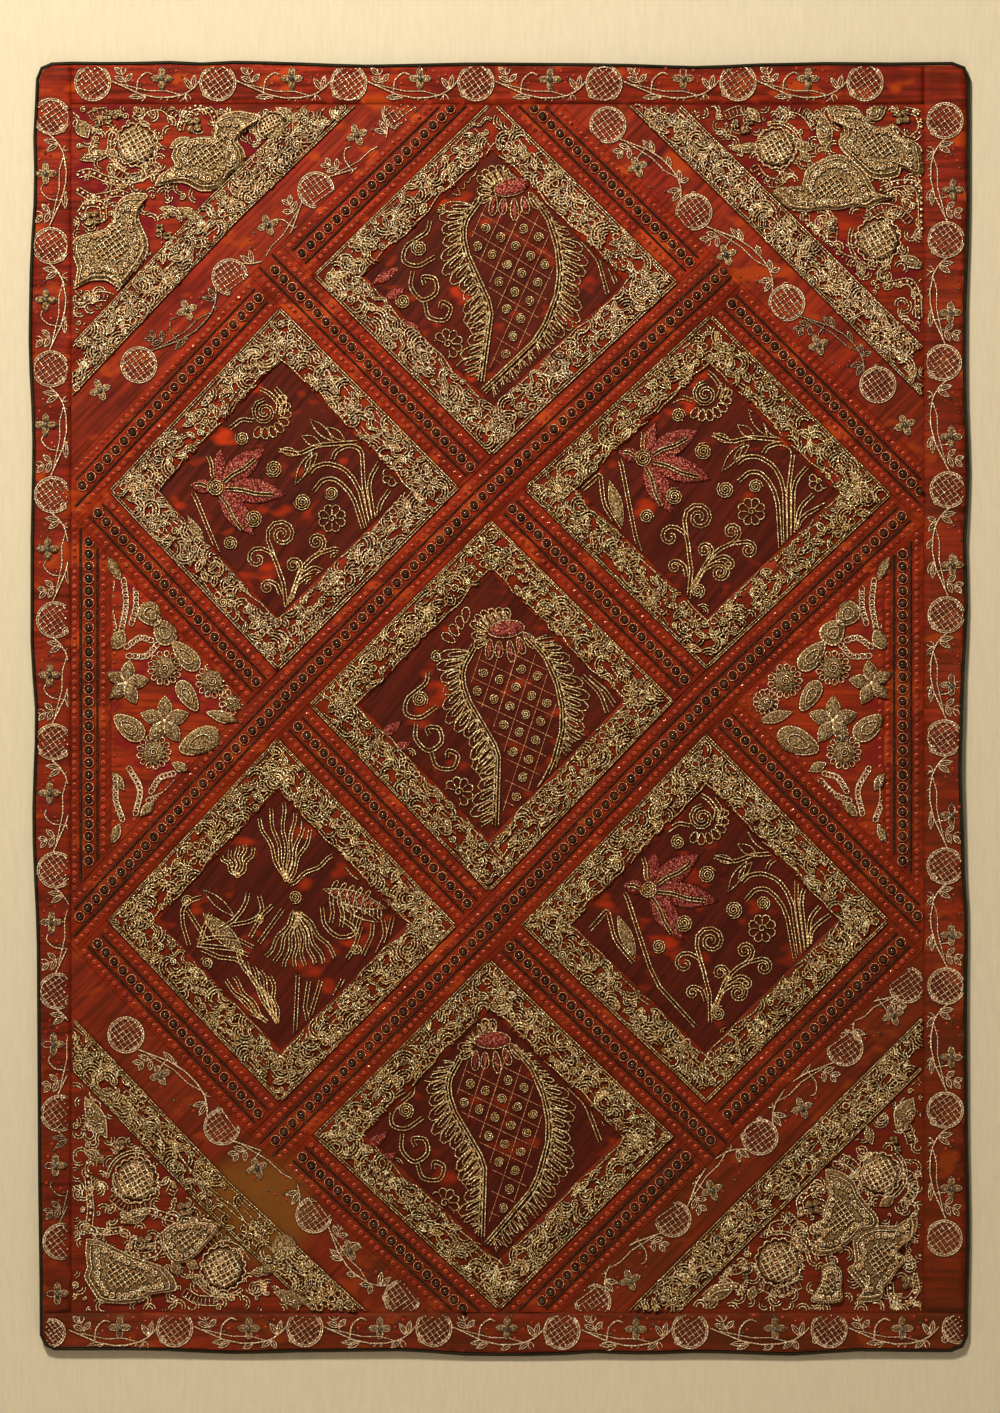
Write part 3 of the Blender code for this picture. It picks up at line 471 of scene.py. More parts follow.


# Thread and knot finishes give their painted highlight colour first; knot finishes give their painted shade
# colour third; silk gives the colour it darkens to third
FINISHES = (
    SilkFinish(Look.BACKING, (0.040, 0.042, 0.028), (0.060, 0.060, 0.042), (0.045, 0.040, 0.026)),
    SilkFinish(Look.PIPING, (0.016, 0.017, 0.010), (0.040, 0.040, 0.024), (0.03, 0.022, 0.012)),
    SilkFinish(Look.BORDER, (0.345, 0.036, 0.014), (0.170, 0.013, 0.014), (0.085, 0.026, 0.006),
               worn=(0.45, 0.070, 0.012), worn_above=0.58),
    SilkFinish(Look.STRIP, (0.325, 0.034, 0.014), (0.160, 0.013, 0.015), (0.100, 0.030, 0.008),
               worn=(0.40, 0.060, 0.010), worn_above=0.58, turn=0.785),
    SilkFinish(Look.HALF, (0.400, 0.050, 0.010), (0.220, 0.012, 0.014), (0.150, 0.034, 0.009),
               worn=(0.230, 0.006, 0.020), worn_above=0.53),
    SilkFinish(Look.RIBBON, (0.330, 0.030, 0.006), (0.170, 0.012, 0.008), (0.120, 0.026, 0.006),
               worn=(0.46, 0.07, 0.012), worn_above=0.58, turn=0.785),
    SilkFinish(Look.FRAME_GROUND, (0.330, 0.034, 0.008), (0.150, 0.012, 0.006), (0.100, 0.022, 0.006),
               turn=0.785),
    SilkFinish(Look.PANEL, (0.110, 0.016, 0.011), (0.150, 0.018, 0.010), (0.060, 0.012, 0.007),
               worn=(0.50, 0.048, 0.008), worn_above=0.572, worn_edge=0.12, turn=0.9),
    SilkFinish(Look.VELVET, (0.330, 0.034, 0.009), (0.150, 0.009, 0.012), (0.110, 0.026, 0.007),
               worn=(0.180, 0.004, 0.016), worn_above=0.52),
    ThreadFinish(Look.GOLD, (1.0, 0.92, 0.70), (0.50, 0.275, 0.105), (0.16, 0.056, 0.017)),
    ThreadFinish(Look.PALE_GOLD, (1.0, 0.94, 0.80), (0.62, 0.37, 0.19), (0.24, 0.095, 0.040)),
    ThreadFinish(Look.SILVER, (1.0, 0.86, 0.74), (0.58, 0.36, 0.25), (0.28, 0.130, 0.085), metallic=0.4),
    ThreadFinish(Look.BLACK_CORD, (0.10, 0.06, 0.04), (0.020, 0.010, 0.006), (0.010, 0.005, 0.004),
                 metallic=0.2, roughness=0.5, pitch=0.0022),
    KnottedFinish(Look.PINK, (1.0, 0.66, 0.58), (0.60, 0.14, 0.12), (0.15, 0.016, 0.016), knots=520.0),
    ThreadFinish(Look.PINK_THREAD, (1.0, 0.60, 0.40), (0.60, 0.220, 0.120), (0.40, 0.100, 0.055),
                 metallic=0.3, roughness=0.45),
    KnottedFinish(Look.PADDED, (1.0, 0.94, 0.76), (0.60, 0.46, 0.28), (0.15, 0.078, 0.032), knots=520.0,
                  metallic=0.4),
    BeadFinish(Look.BEAD, (0.014, 0.008, 0.005), (0.075, 0.040, 0.022)),
    BeadFinish(Look.BLUE_BEAD, (0.055, 0.050, 0.055), (0.22, 0.19, 0.17), metallic=0.3, roughness=0.2),
    BeadFinish(Look.SEQUIN, (0.34, 0.030, 0.012), (0.55, 0.085, 0.032), metallic=0.15, roughness=0.42,
               coat=0.05,
               heart=(0.025, 0.006, 0.004)),
)


class Wardrobe:
    """Every finish as a material, built once."""

    def __init__(self) -> None:
        """Builds the shared effects and the materials."""
        effects = SharedEffects()
        self.materials = {finish.look: finish.build(effects) for finish in FINISHES}

    def __getitem__(self, look: Look) -> bpy.types.Material:
        """The material of one look."""
        return self.materials[look]


# Geometry Nodes trees for what repeats or follows a path

def geometry_tree(name: str, sizes: Sequence[tuple]) -> tuple[bpy.types.NodeTree, Wiring]:
    """Starts a geometry tree with named sizes and a finish.

    Args:
        name: The tree's name.
        sizes: Name, socket type and default value of each size.

    Returns:
        The tree and its wiring.
    """
    tree = bpy.data.node_groups.new(name, "GeometryNodeTree")
    tree.interface.new_socket(name="Geometry", in_out="INPUT", socket_type="NodeSocketGeometry")
    for label, kind, value in sizes:
        tree.interface.new_socket(name=label, in_out="INPUT", socket_type=kind).default_value = value
    tree.interface.new_socket(name="Finish", in_out="INPUT", socket_type="NodeSocketMaterial")
    tree.interface.new_socket(name="Geometry", in_out="OUTPUT", socket_type="NodeSocketGeometry")
    tree.nodes.new("NodeGroupInput").name = "Group Input"
    tree.nodes.new("NodeGroupOutput").name = "Group Output"
    return tree, Wiring(tree)


class Trees:
    """The geometry trees: cords swept along paths, beads, and flat spangles."""

    def __init__(self) -> None:
        """Builds the three trees."""
        self.cord = self.build_cord()
        self.bead = self.build_bead()
        self.spangle = self.build_spangle()

    @staticmethod
    def close(tree: bpy.types.NodeTree, w: Wiring, shape: Socket, smooth: bool) -> None:
        """Ends a tree: instances realised, how far each point faces forward stored, finish applied."""
        source = tree.nodes["Group Input"].outputs
        real = w.node("GeometryNodeRealizeInstances", None, Geometry=shape).outputs[0]
        # How far each point faces forward, which the finishes use to paint highlights on fronts and shade on
        # sides
        normal = w.node("GeometryNodeInputNormal").outputs[0]
        facing = w.node("ShaderNodeSeparateXYZ", None, Vector=normal).outputs[1]
        marked = w.node("GeometryNodeStoreNamedAttribute", {"data_type": "FLOAT", "domain": "POINT"},
                        Geometry=real, Name="crown", Value=w.math("MULTIPLY", facing, -1.0)).outputs[0]
        shaded = w.node("GeometryNodeSetShadeSmooth", None, Geometry=marked, Shade_Smooth=smooth).outputs[0]
        dressed = w.node("GeometryNodeSetMaterial", None, Geometry=shaded, Material=source["Finish"])
        w.feed(tree.nodes["Group Output"].inputs[0], dressed.outputs[0])

    def build_cord(self) -> bpy.types.NodeTree:
        """Cords swept along the edges of a mesh, as thick as its points say, with their length stored."""
        tree, w = geometry_tree("cord_along_path", [("Sides", "NodeSocketInt", 4)])
        source = tree.nodes["Group Input"].outputs
        thickness = w.node("GeometryNodeInputNamedAttribute", {"data_type": "FLOAT"}, Name="thickness")
        path = w.node("GeometryNodeMeshToCurve", None, Mesh=source["Geometry"]).outputs[0]
        length = w.node("GeometryNodeSplineParameter").outputs["Length"]
        stored = w.node("GeometryNodeStoreNamedAttribute", {"data_type": "FLOAT", "domain": "POINT"},
                        Geometry=path, Name="along", Value=length).outputs[0]
        sized = w.node("GeometryNodeSetCurveRadius", None, Curve=stored,
                       Radius=thickness.outputs[0]).outputs[0]
        round_profile = w.node("GeometryNodeCurvePrimitiveCircle", None, Resolution=source["Sides"])
        round_profile.inputs["Radius"].default_value = 1.0
        swept = w.node("GeometryNodeCurveToMesh", None, Curve=sized, Profile_Curve=round_profile.outputs[0],
                       Fill_Caps=True)
        if "Scale" in swept.inputs:
            w.feed(swept.inputs["Scale"], thickness.outputs[0])
            w.feed(tree.nodes[swept.name].inputs["Curve"], stored)
        self.close(tree, w, swept.outputs[0], True)
        return tree

    def build_bead(self) -> bpy.types.NodeTree:
        """Round beads at the points of a mesh."""
        tree, w = geometry_tree("beads_at_points", [("Radius", "NodeSocketFloat", 0.003),
                                                    ("Segments", "NodeSocketInt", 8),
                                                    ("Rings", "NodeSocketInt", 5)])
        source = tree.nodes["Group Input"].outputs
        ball = w.node("GeometryNodeMeshUVSphere", None, Segments=source["Segments"], Rings=source["Rings"],
                      Radius=source["Radius"]).outputs[0]
        turn = w.node("FunctionNodeRandomValue", {"data_type": "FLOAT_VECTOR"}, Seed=3)
        turn.inputs[1].default_value = (TAU, TAU, TAU)
        size = w.node("FunctionNodeRandomValue", {"data_type": "FLOAT"}, Seed=5)
        size.inputs[2].default_value = 0.88
        size.inputs[3].default_value = 1.08
        placed = w.node("GeometryNodeInstanceOnPoints", None, Points=source["Geometry"], Instance=ball,
                        Rotation=turn.outputs[0], Scale=size.outputs[1])
        self.close(tree, w, placed.outputs[0], True)
        return tree

    def build_spangle(self) -> bpy.types.NodeTree:
        """Thin domed discs at the points of a mesh, facing forward with a little tilt."""
        tree, w = geometry_tree("spangles_at_points", [("Radius", "NodeSocketFloat", 0.002),
                                                       ("Thickness", "NodeSocketFloat", 0.0006),
                                                       ("Sides", "NodeSocketInt", 6)])
        source = tree.nodes["Group Input"].outputs
        disc = w.node("GeometryNodeMeshCone", {"fill_type": "TRIANGLE_FAN"}, Vertices=source["Sides"],
                      Radius_Bottom=source["Radius"], Depth=source["Thickness"])
        w.feed(disc.inputs["Radius Top"], w.math("MULTIPLY", source["Radius"], 0.5))
        reach = w.node("ShaderNodeVectorMath", {"operation": "LENGTH"},
                       i0=w.node("GeometryNodeInputPosition").outputs[0]).outputs["Value"]
        ringed = w.node("GeometryNodeStoreNamedAttribute", {"data_type": "FLOAT", "domain": "POINT"},
                        Geometry=disc.outputs[0], Name="heart",
                        Value=w.math("DIVIDE", reach, source["Radius"]))
        tilt = w.node("FunctionNodeRandomValue", {"data_type": "FLOAT_VECTOR"}, Seed=11)
        tilt.inputs[0].default_value = (TAU / 4 - 0.25, -0.25, 0.0)
        tilt.inputs[1].default_value = (TAU / 4 + 0.25, 0.25, 0.0)
        placed = w.node("GeometryNodeInstanceOnPoints", None, Points=source["Geometry"],
                        Instance=ringed.outputs[0],
                        Rotation=tilt.outputs[0])
        self.close(tree, w, placed.outputs[0], False)
        return tree


def linked(name: str, data: bpy.types.ID) -> bpy.types.Object:
    """Puts a mesh, a light or a camera in the scene."""
    made = bpy.data.objects.new(name, data)
    bpy.context.collection.objects.link(made)
    return made


def grown(name: str, points: np.ndarray, edges: np.ndarray, tree: bpy.types.NodeTree,
          finish: bpy.types.Material,
          sizes: dict[str, float], marks: dict[str, np.ndarray] | None = None) -> bpy.types.Object:
    """Grows a piece from points by a geometry tree, as a plain mesh.

    Args:
        name: The piece's name.
        points: Places, one row each.
        edges: Pairs of points that a cord follows, or none.
        tree: The geometry tree.
        finish: The material that it sets.
        sizes: Values of the tree's named sizes.
        marks: Named values stored on the points.

    Returns:
        The piece, at the origin and with no modifier.
    """
    seed = bpy.data.meshes.new(name + "_seed")
    seed.vertices.add(len(points))
    seed.vertices.foreach_set("co", np.ascontiguousarray(points, np.float32).ravel())
    if len(edges):
        seed.edges.add(len(edges))
        seed.edges.foreach_set("vertices", np.ascontiguousarray(edges, np.int32).ravel())
    for label, values in (marks or {}).items():
        seed.attributes.new(label, "FLOAT", "POINT").data.foreach_set("value", values.astype(np.float32))
    seed.update()
    holder = linked(name + "_seed", seed)
    modifier = holder.modifiers.new("grow", "NODES")
    modifier.node_group = tree
    for item in tree.interface.items_tree:
        if item.in_out != "INPUT" or item.socket_type == "NodeSocketGeometry":
            continue
        if item.name == "Finish":
            modifier[item.identifier] = finish
        elif item.name in sizes:
            modifier[item.identifier] = sizes[item.name]
    graph = bpy.context.evaluated_depsgraph_get()
    mesh = bpy.data.meshes.new_from_object(holder.evaluated_get(graph), depsgraph=graph)
    mesh.name = name
    bpy.data.objects.remove(holder, do_unlink=True)
    if not mesh.materials:
        mesh.materials.append(finish)
    return linked(name, mesh)


# Plane shapes of embroidery, as paths of across and up in metres

def heading(turn: float) -> np.ndarray:
    """The unit vector at an angle in radians."""
    return np.array([math.cos(turn), math.sin(turn)])


def left_of(way: np.ndarray) -> np.ndarray:
    """A vector turned a quarter to the left."""
    return np.array([-way[1], way[0]])


def signed_area(ring: np.ndarray) -> float:
    """Twice the area inside a ring, above 0 where it turns anticlockwise."""
    return np.sum(ring[:, 0] * np.roll(ring[:, 1], -1) - ring[:, 1] * np.roll(ring[:, 0], -1))


def in_space(places: np.ndarray, front: np.ndarray) -> np.ndarray:
    """Places across and up, at their distances in front of the origin."""
    return np.stack([places[:, 0], -front, places[:, 1]], axis=1)


def arc(middle: Sequence[float], radius: float, start: float, end: float, count: int = 10) -> Path:
    """Part of a circle, from one angle to another in degrees."""
    angles = np.radians(np.linspace(start, end, count))
    return np.stack([middle[0] + radius * np.cos(angles), middle[1] + radius * np.sin(angles)], axis=1)


def spiral(middle: Sequence[float], radius: float, turns: float, start: float = 0.0, tight: float = 0.12,
           per_turn: int = 10) -> Path:
    """A spiral from its outer end inwards.

    Args:
        middle: Its middle.
        radius: Its outer radius.
        turns: How many turns it makes, with a minus sign for clockwise.
        start: The angle of its outer end in degrees.
        tight: Its inner radius as a share of the outer.
        per_turn: Points in each turn.

    Returns:
        Its path.
    """
    count = max(4, int(abs(turns) * per_turn))
    share = np.linspace(0, 1, count)
    angles = math.radians(start) + share * turns * TAU
    reach = radius * (1 - share * (1 - tight))
    return np.stack([middle[0] + reach * np.cos(angles), middle[1] + reach * np.sin(angles)], axis=1)


def smooth_path(points: Sequence[Sequence[float]], step: float = 0.003) -> Path:
    """A smooth curve through a few places, with a point every step."""
    given = np.asarray(points, float)
    padded = np.vstack([2 * given[0] - given[1], given, 2 * given[-1] - given[-2]])
    pieces = []
    for a, b, c, d in zip(padded, padded[1:], padded[2:], padded[3:]):
        count = max(2, int(np.linalg.norm(c - b) / step) + 1)
        t = np.linspace(0, 1, count, endpoint=False)[:, None]
        pieces.append(0.5 * (2 * b + (c - a) * t + (2 * a - 5 * b + 4 * c - d) * t ** 2
                             + (3 * b - a - 3 * c + d) * t ** 3))
    pieces.append(given[-1:])
    return np.vstack(pieces)


def normals_of(path: Path) -> Path:
    """The unit vector to the left of a path at each of its points."""
    way = np.gradient(path, axis=0)
    way /= np.maximum(np.linalg.norm(way, axis=1, keepdims=True), 1e-12)
    return np.stack([-way[:, 1], way[:, 0]], axis=1)


def beside(path: Path, distance: float) -> Path:
    """A path moved to its left."""
    return path + normals_of(path) * distance


def petal(base: Sequence[float], angle: float, length: float, width: float, count: int = 10) -> Path:
    """A looped petal that leaves its base at an angle in degrees and comes back to it."""
    share = np.linspace(0, 1, count)
    swing = share * TAU
    along = length * (1 - np.cos(swing)) / 2
    aside = width / 2 * np.sin(swing) * (0.55 + 0.45 * (1 - np.cos(swing)) / 2) * 1.3
    turn = math.radians(angle)
    way = heading(turn)
    return base + np.multiply.outer(along, way) + np.multiply.outer(aside, left_of(way))


def leaf(base: Sequence[float], tip: Sequence[float], width: float, count: int = 9) -> Path:
    """A pointed leaf outline from its base, round its tip and back."""
    base, tip = np.asarray(base, float), np.asarray(tip, float)
    way = tip - base
    aside = left_of(way) / max(np.linalg.norm(way), 1e-9) * width / 2
    share = np.linspace(0, 1, count)[:, None]
    out = base + way * share + aside * np.sin(share * math.pi)
    back = base + way * share[::-1] - aside * np.sin(share[::-1] * math.pi)
    return np.vstack([out, back[1:]])


def inside(places: np.ndarray, outline: np.ndarray) -> np.ndarray:
    """Which places lie inside an outline."""
    x, y = places[:, 0], places[:, 1]
    held = np.zeros(len(places), bool)
    for (x0, y0), (x1, y1) in zip(outline, np.roll(outline, -1, axis=0)):
        if y0 == y1:
            continue
        crosses = (y0 > y) != (y1 > y)
        held ^= crosses & (x < (x1 - x0) * (y - y0) / (y1 - y0) + x0)
    return held


def line_distance(places: np.ndarray, line: np.ndarray) -> np.ndarray:
    """Distance from each place to the nearest part of a bent line."""
    nearest = np.full(len(places), np.inf)
    for start, end in zip(line, line[1:]):
        way = end - start
        share = np.clip(((places - start) @ way) / max(way @ way, 1e-12), 0, 1)
        nearest = np.minimum(nearest, np.linalg.norm(places - start - share[:, None] * way, axis=1))
    return nearest


def edge_distance(places: np.ndarray, outline: np.ndarray) -> np.ndarray:
    """Distance from each place to the nearest side of an outline."""
    return line_distance(places, np.vstack([outline, outline[:1]]))


def thinned(places: np.ndarray, slack: float) -> np.ndarray:
    """A line in space without the points within slack of the straight between their neighbours."""
    kept = [0]
    for k in range(1, len(places) - 1):
        off, way = places[k] - places[kept[-1]], places[k + 1] - places[kept[-1]]
        off = off - way * (off @ way) / max(way @ way, 1e-12)
        if off @ off > slack ** 2:
            kept.append(k)
    return places[[*kept, len(places) - 1]]


@dataclass
class Needlework:
    """Cords, beads and spangles gathered for one piece, laid on its surface and made together.

    Args:
        name: The piece's name, which each group of its stitches starts with.
        surface: How far in front of the origin the cloth lies, at places across and up.
        outline: The cloth's outline, or None where nothing is cut off.
        margin: How far inside the outline the cords stay.
        holes: Outlines that the stitches stay out of.
        cords: The laid cords of each finish, each with its places, radius and tone.
        dots: The places of beads and spangles of each finish and size.
    """

    name: str
    surface: Height
    outline: np.ndarray | None = None
    margin: float = 0.0
    holes: Sequence[np.ndarray] = ()
    cords: dict = field(default_factory=dict)
    dots: dict = field(default_factory=dict)

    def lay(self, path: Path, look: Look, radius: float = 0.001, lift: float = 0.0, tone: float = 0.5,
            bury: float = 0.35) -> None:
        """Lays one cord.

        Args:
            path: Places that it follows.
            look: Its finish.
            radius: Its radius.
            lift: How far it rides above the cloth.
            tone: A share by which this cord is darker.
            bury: Share of its radius that is sunk in the cloth.
        """
        if self.outline is not None:
            kept = self.within(path, self.margin + radius * 0.5)
            runs = np.split(np.arange(len(path)), np.where(~kept)[0])
            for run in runs:
                run = run[kept[run]]
                if len(run) > 1:
                    self.add(path[run], look, radius, lift, tone, bury)
        else:
            self.add(path, look, radius, lift, tone, bury)

    def within(self, places: np.ndarray, margin: float) -> np.ndarray:
        """Which places lie on the cloth, further than a margin from its edges."""
        kept = inside(places, self.outline) & (edge_distance(places, self.outline) > margin)
        for hole in self.holes:
            kept &= ~inside(places, hole) & (edge_distance(places, hole) > margin)
        return kept

    def add(self, path: Path, look: Look, radius: float, lift: float, tone: float, bury: float) -> None:
        """Keeps one whole cord in the group of its finish."""
        front = self.surface(path) + lift + radius * (1 - bury)
        places = thinned(in_space(path, front), CORD_SLACK)
        self.cords.setdefault(look, []).append((places, radius, tone))

    def pair(self, path: Path, look: Look, radius: float = 0.001, gap: float = 0.0024, **rest) -> None:
        """Lays two cords side by side."""
        self.lay(beside(path, gap / 2), look, radius, **rest)
        self.lay(beside(path, -gap / 2), look, radius, **rest)

    def dot(self, places: np.ndarray, look: Look, radius: float, sit: float = 0.5,
            flat: bool = False) -> None:
        """Sews beads, or flat spangles, at places; sit is the share of the radius above the cloth."""
        places = np.atleast_2d(np.asarray(places, float))
        if self.outline is not None:
            places = places[self.within(places, radius * 0.6)]
        if not len(places):
            return
        front = self.surface(places) + radius * sit
        self.dots.setdefault((look, radius, flat), []).append(in_space(places, front))

    def make(self, trees: Trees, wardrobe: Wardrobe) -> list[bpy.types.Object]:
        """Makes the gathered stitches.

        Args:
            trees: The geometry trees.
            wardrobe: The finishes.

        Returns:
            One piece for each finish of its cords, and for each finish and size of its beads.
        """
        made = []
        for look, cords in self.cords.items():
            counts = np.array([len(places) for places, _, _ in cords])
            points = np.vstack([places for places, _, _ in cords])
            starts = np.concatenate([[0], np.cumsum(counts)[:-1]])
            index = np.arange(len(points))
            last = np.zeros(len(points), bool)
            last[starts + counts - 1] = True
            heads = index[~last]
            marks = {
                "thickness": np.repeat([radius for _, radius, _ in cords], counts),
                "tone": np.repeat([tone for _, _, tone in cords], counts),
            }
            piece = grown(f"{self.name}_{look.value}", points, np.stack([heads, heads + 1], axis=1),
                          trees.cord, wardrobe[look], {"Sides": 4}, marks)
            made.append(self.sewn(piece, look))
        for (look, radius, flat), groups in self.dots.items():
            points = np.vstack(groups)
            tree = trees.spangle if flat else trees.bead
            name = f"{self.name}_{look.value}_{round(radius / MM * 10)}"
            large = radius > SMALL_BEAD
            sizes = {"Radius": radius, "Rings": 5 if large else 4, "Segments": 8 if large else 6,
                     "Sides": 5 if radius > SMALL_SPANGLE else 4}
            piece = grown(name, points, np.zeros((0, 2)), tree, wardrobe[look], sizes)
            made.append(self.sewn(piece, look))
        return made

    @staticmethod
    def sewn(piece: bpy.types.Object, look: Look) -> bpy.types.Object:
        """Fixes one piece of stitching to the hanging."""
        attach(piece, BODY)
        return piece


# The slot of each look: gold thread but for these
SLOTS = dict.fromkeys(Look, "gold_thread") | {
    Look.BACKING: "backing_cloth", Look.PIPING: "piping_silk", Look.BORDER: "border_silk",
    Look.STRIP: "border_silk", Look.HALF: "crimson_velvet", Look.RIBBON: "ribbon_silk",
    Look.PANEL: "panel_silk", Look.VELVET: "crimson_velvet", Look.BLACK_CORD: "piping_silk",
    Look.BEAD: "glass_beads", Look.BLUE_BEAD: "glass_beads",
}


@dataclass
class Workshop:
    """What every sub-assembly is made with."""

    trees: Trees
    wardrobe: Wardrobe

    def stitch(self, work: Needlework) -> None:
        """Makes one piece's needlework and reports its triangles."""
        made = work.make(self.trees, self.wardrobe)
        total = sum(sum(len(f.vertices) - 2 for f in piece.data.polygons) for piece in made)
        LOG.info("%s: %d groups of stitches, %d triangles", work.name, len(made), total)


# Cloth pieces, cut to the outlines of the solids that they stand for

def node_shape(node: str) -> bmesh.types.BMesh:
    """A copy of one solid's mesh, with its loose triangles joined."""
    shape = bmesh.new()
    shape.from_mesh(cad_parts[node].data)
    shape.transform(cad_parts[node].matrix_world)
    bmesh.ops.remove_doubles(shape, verts=shape.verts, dist=1e-6)
    return shape


def flat_places(verts: Sequence[bmesh.types.BMVert]) -> np.ndarray:
    """Where corners of a mesh lie, across and up."""
    return np.array([(v.co.x, v.co.z) for v in verts])


def outlines_of(node: str) -> list[np.ndarray]:
    """Outlines of a solid's flat back, the longest first.

    Args:
        node: The solid's name.

    Returns:
        Corners of each outline, across and up, in order.
    """
    shape = node_shape(node)
    back = max(v.co.y for v in shape.verts)
    flat = {f for f in shape.faces if all(v.co.y > back - BACK_SLACK for v in f.verts)}
    follows: dict = {}
    for edge in shape.edges:
        if sum(f in flat for f in edge.link_faces) == 1:
            a, b = edge.verts
            follows.setdefault(a, []).append(b)
            follows.setdefault(b, []).append(a)
    loops = []
    while follows:
        start = here = next(iter(follows))
        before = None
        loop = []
        while here in follows:
            loop.append((here.co.x, here.co.z))
            nexts = [v for v in follows.pop(here) if v is not before]
            before, here = here, nexts[0]
            if here is start:
                break
        loops.append(corners_only(np.array(loop)))
    shape.free()
    return sorted(loops, key=lambda loop: -np.linalg.norm(np.diff(loop, axis=0), axis=1).sum())


def corners_only(loop: np.ndarray) -> np.ndarray:
    """An outline without the points that lie on its straight sides, turning anticlockwise."""
    before, after = np.roll(loop, 1, axis=0), np.roll(loop, -1, axis=0)
    first, second = loop - before, after - loop
    cross = first[:, 0] * second[:, 1] - first[:, 1] * second[:, 0]
    scale = np.linalg.norm(first, axis=1) * np.linalg.norm(second, axis=1)
    kept = loop[np.abs(cross) > 0.004 * np.maximum(scale, 1e-12)]
    return kept if signed_area(kept) > 0 else kept[::-1]


def cut_grid(shape: bmesh.types.BMesh, cell: float) -> None:
    """Cuts the front and slanted faces of a shape into cells."""
    for axis in (0, 2):
        low = min(v.co[axis] for v in shape.verts)
        high = max(v.co[axis] for v in shape.verts)
        normal = Vector((1, 0, 0)) if axis == 0 else Vector((0, 0, 1))
        for place in np.arange(low + cell, high - cell / 2, cell):
            faces = [f for f in shape.faces if f.normal.y < FORWARD]
            edges = {e for f in faces for e in f.edges}
            verts = {v for f in faces for v in f.verts}
            bmesh.ops.bisect_plane(shape, geom=[*faces, *edges, *verts], dist=1e-6,
                                   plane_co=normal * float(place), plane_no=normal)
            shape.normal_update()


def cut_size(outline: np.ndarray) -> tuple[float, float]:
    """Width and length of the smallest upright or turned box round an outline."""
    best = (math.inf, 0.0, 0.0)
    for start, end in zip(outline, np.roll(outline, -1, axis=0)):
        way = end - start
        if np.linalg.norm(way) < 1e-4:
            continue
        way = way / np.linalg.norm(way)
        span = np.stack([outline @ way, outline @ left_of(way)]).T
        width, length = span.max(axis=0) - span.min(axis=0)
        best = min(best, (width * length, min(width, length), max(width, length)))
    return float(best[1]), float(best[2])


def dressed(node: str, look: Look, shape: bmesh.types.BMesh, shop: Workshop, area: float,
            flat: tuple[float, float] | None) -> bpy.types.Object:
    """Turns a shape into a finished sheet or padded cord in the place of its solid.

    Args:
        node: The solid that it replaces.
        look: Its finish.
        shape: Its closed mesh, which is freed.
        shop: Where its finish comes from.
        area: The flat cut's area.
        flat: The flat cut's width and length, or None for a padded cord.

    Returns:
        The piece.
    """
    bmesh.ops.triangulate(shape, faces=[f for f in shape.faces if len(f.verts) > 4])
    mesh = bpy.data.meshes.new(node + "_cloth")
    shape.to_mesh(mesh)
    shape.free()
    mesh.shade_smooth()
    mesh.set_sharp_from_angle(angle=math.radians(50))
    mesh.materials.append(shop.wardrobe[look])
    piece = linked(node + "_cloth", mesh)
    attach(piece, BODY)
    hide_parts(node)
    if flat is None:
        return piece
    width, length = round(float(flat[0]), 4), round(float(flat[1]), 4)
    round(min(area, width * length), 6)
    LOG.info("%s: sheet of %.3f by %.3f m, %d faces", piece.name, width, length, len(mesh.polygons))
    return piece


@dataclass
class ClothPiece:
    """One patch of cloth: a closed sheet with its solid's outline and a rippled front."""

    node: str
    look: Look
    front: Height
    back: float
    cell: float = 0.005

    def make(self, shop: Workshop) -> bpy.types.Object:
        """Cuts the sheet, raises its front, dresses it and puts it in its solid's place."""
        solid = node_shape(self.node)
        level = max(v.co.y for v in solid.verts)
        flat = [f for f in solid.faces if all(v.co.y > level - BACK_SLACK for v in f.verts)]
        shape = bmesh.new()
        rear, fore = {}, {}
        for vert in {v for f in flat for v in f.verts}:
            rear[vert] = shape.verts.new((vert.co.x, -self.back, vert.co.z))
            fore[vert] = shape.verts.new((vert.co.x, -self.back - 0.001, vert.co.z))
        area = 0.0
        for face in flat:
            area += face.calc_area()
            corners = list(face.verts) if face.normal.y > 0 else list(face.verts)[::-1]
            shape.faces.new([rear[v] for v in corners])
            shape.faces.new([fore[v] for v in corners[::-1]])
            for here, after in zip(corners, corners[1:] + corners[:1]):
                edge = solid.edges.get((here, after))
                if sum(f in flat for f in edge.link_faces) == 1:
                    shape.faces.new((rear[after], rear[here], fore[here], fore[after]))
        solid.free()
        shape.normal_update()
        cut_grid(shape, self.cell)
        raised = [v for v in shape.verts if v.co.y < -self.back - 0.0005]
        for vert, front in zip(raised, self.front(flat_places(raised))):
            vert.co.y = -front
        return dressed(self.node, self.look, shape, shop, area, cut_size(outlines_of(self.node)[0]))


def ripple(places: np.ndarray, size: float, height: float, seed: float = 0.0) -> np.ndarray:
    """Soft uneven ripples of one size and height."""
    x, y = places[:, 0] / size, places[:, 1] / size
    crossed = np.sin(TAU * (x * 0.83 + y * 0.31) + seed) * np.sin(TAU * (y * 0.71 - x * 0.22) + seed * 2.1)
    return height * 0.5 * (crossed + np.sin(TAU * (x * 0.37 + y * 1.13) + seed * 1.7))


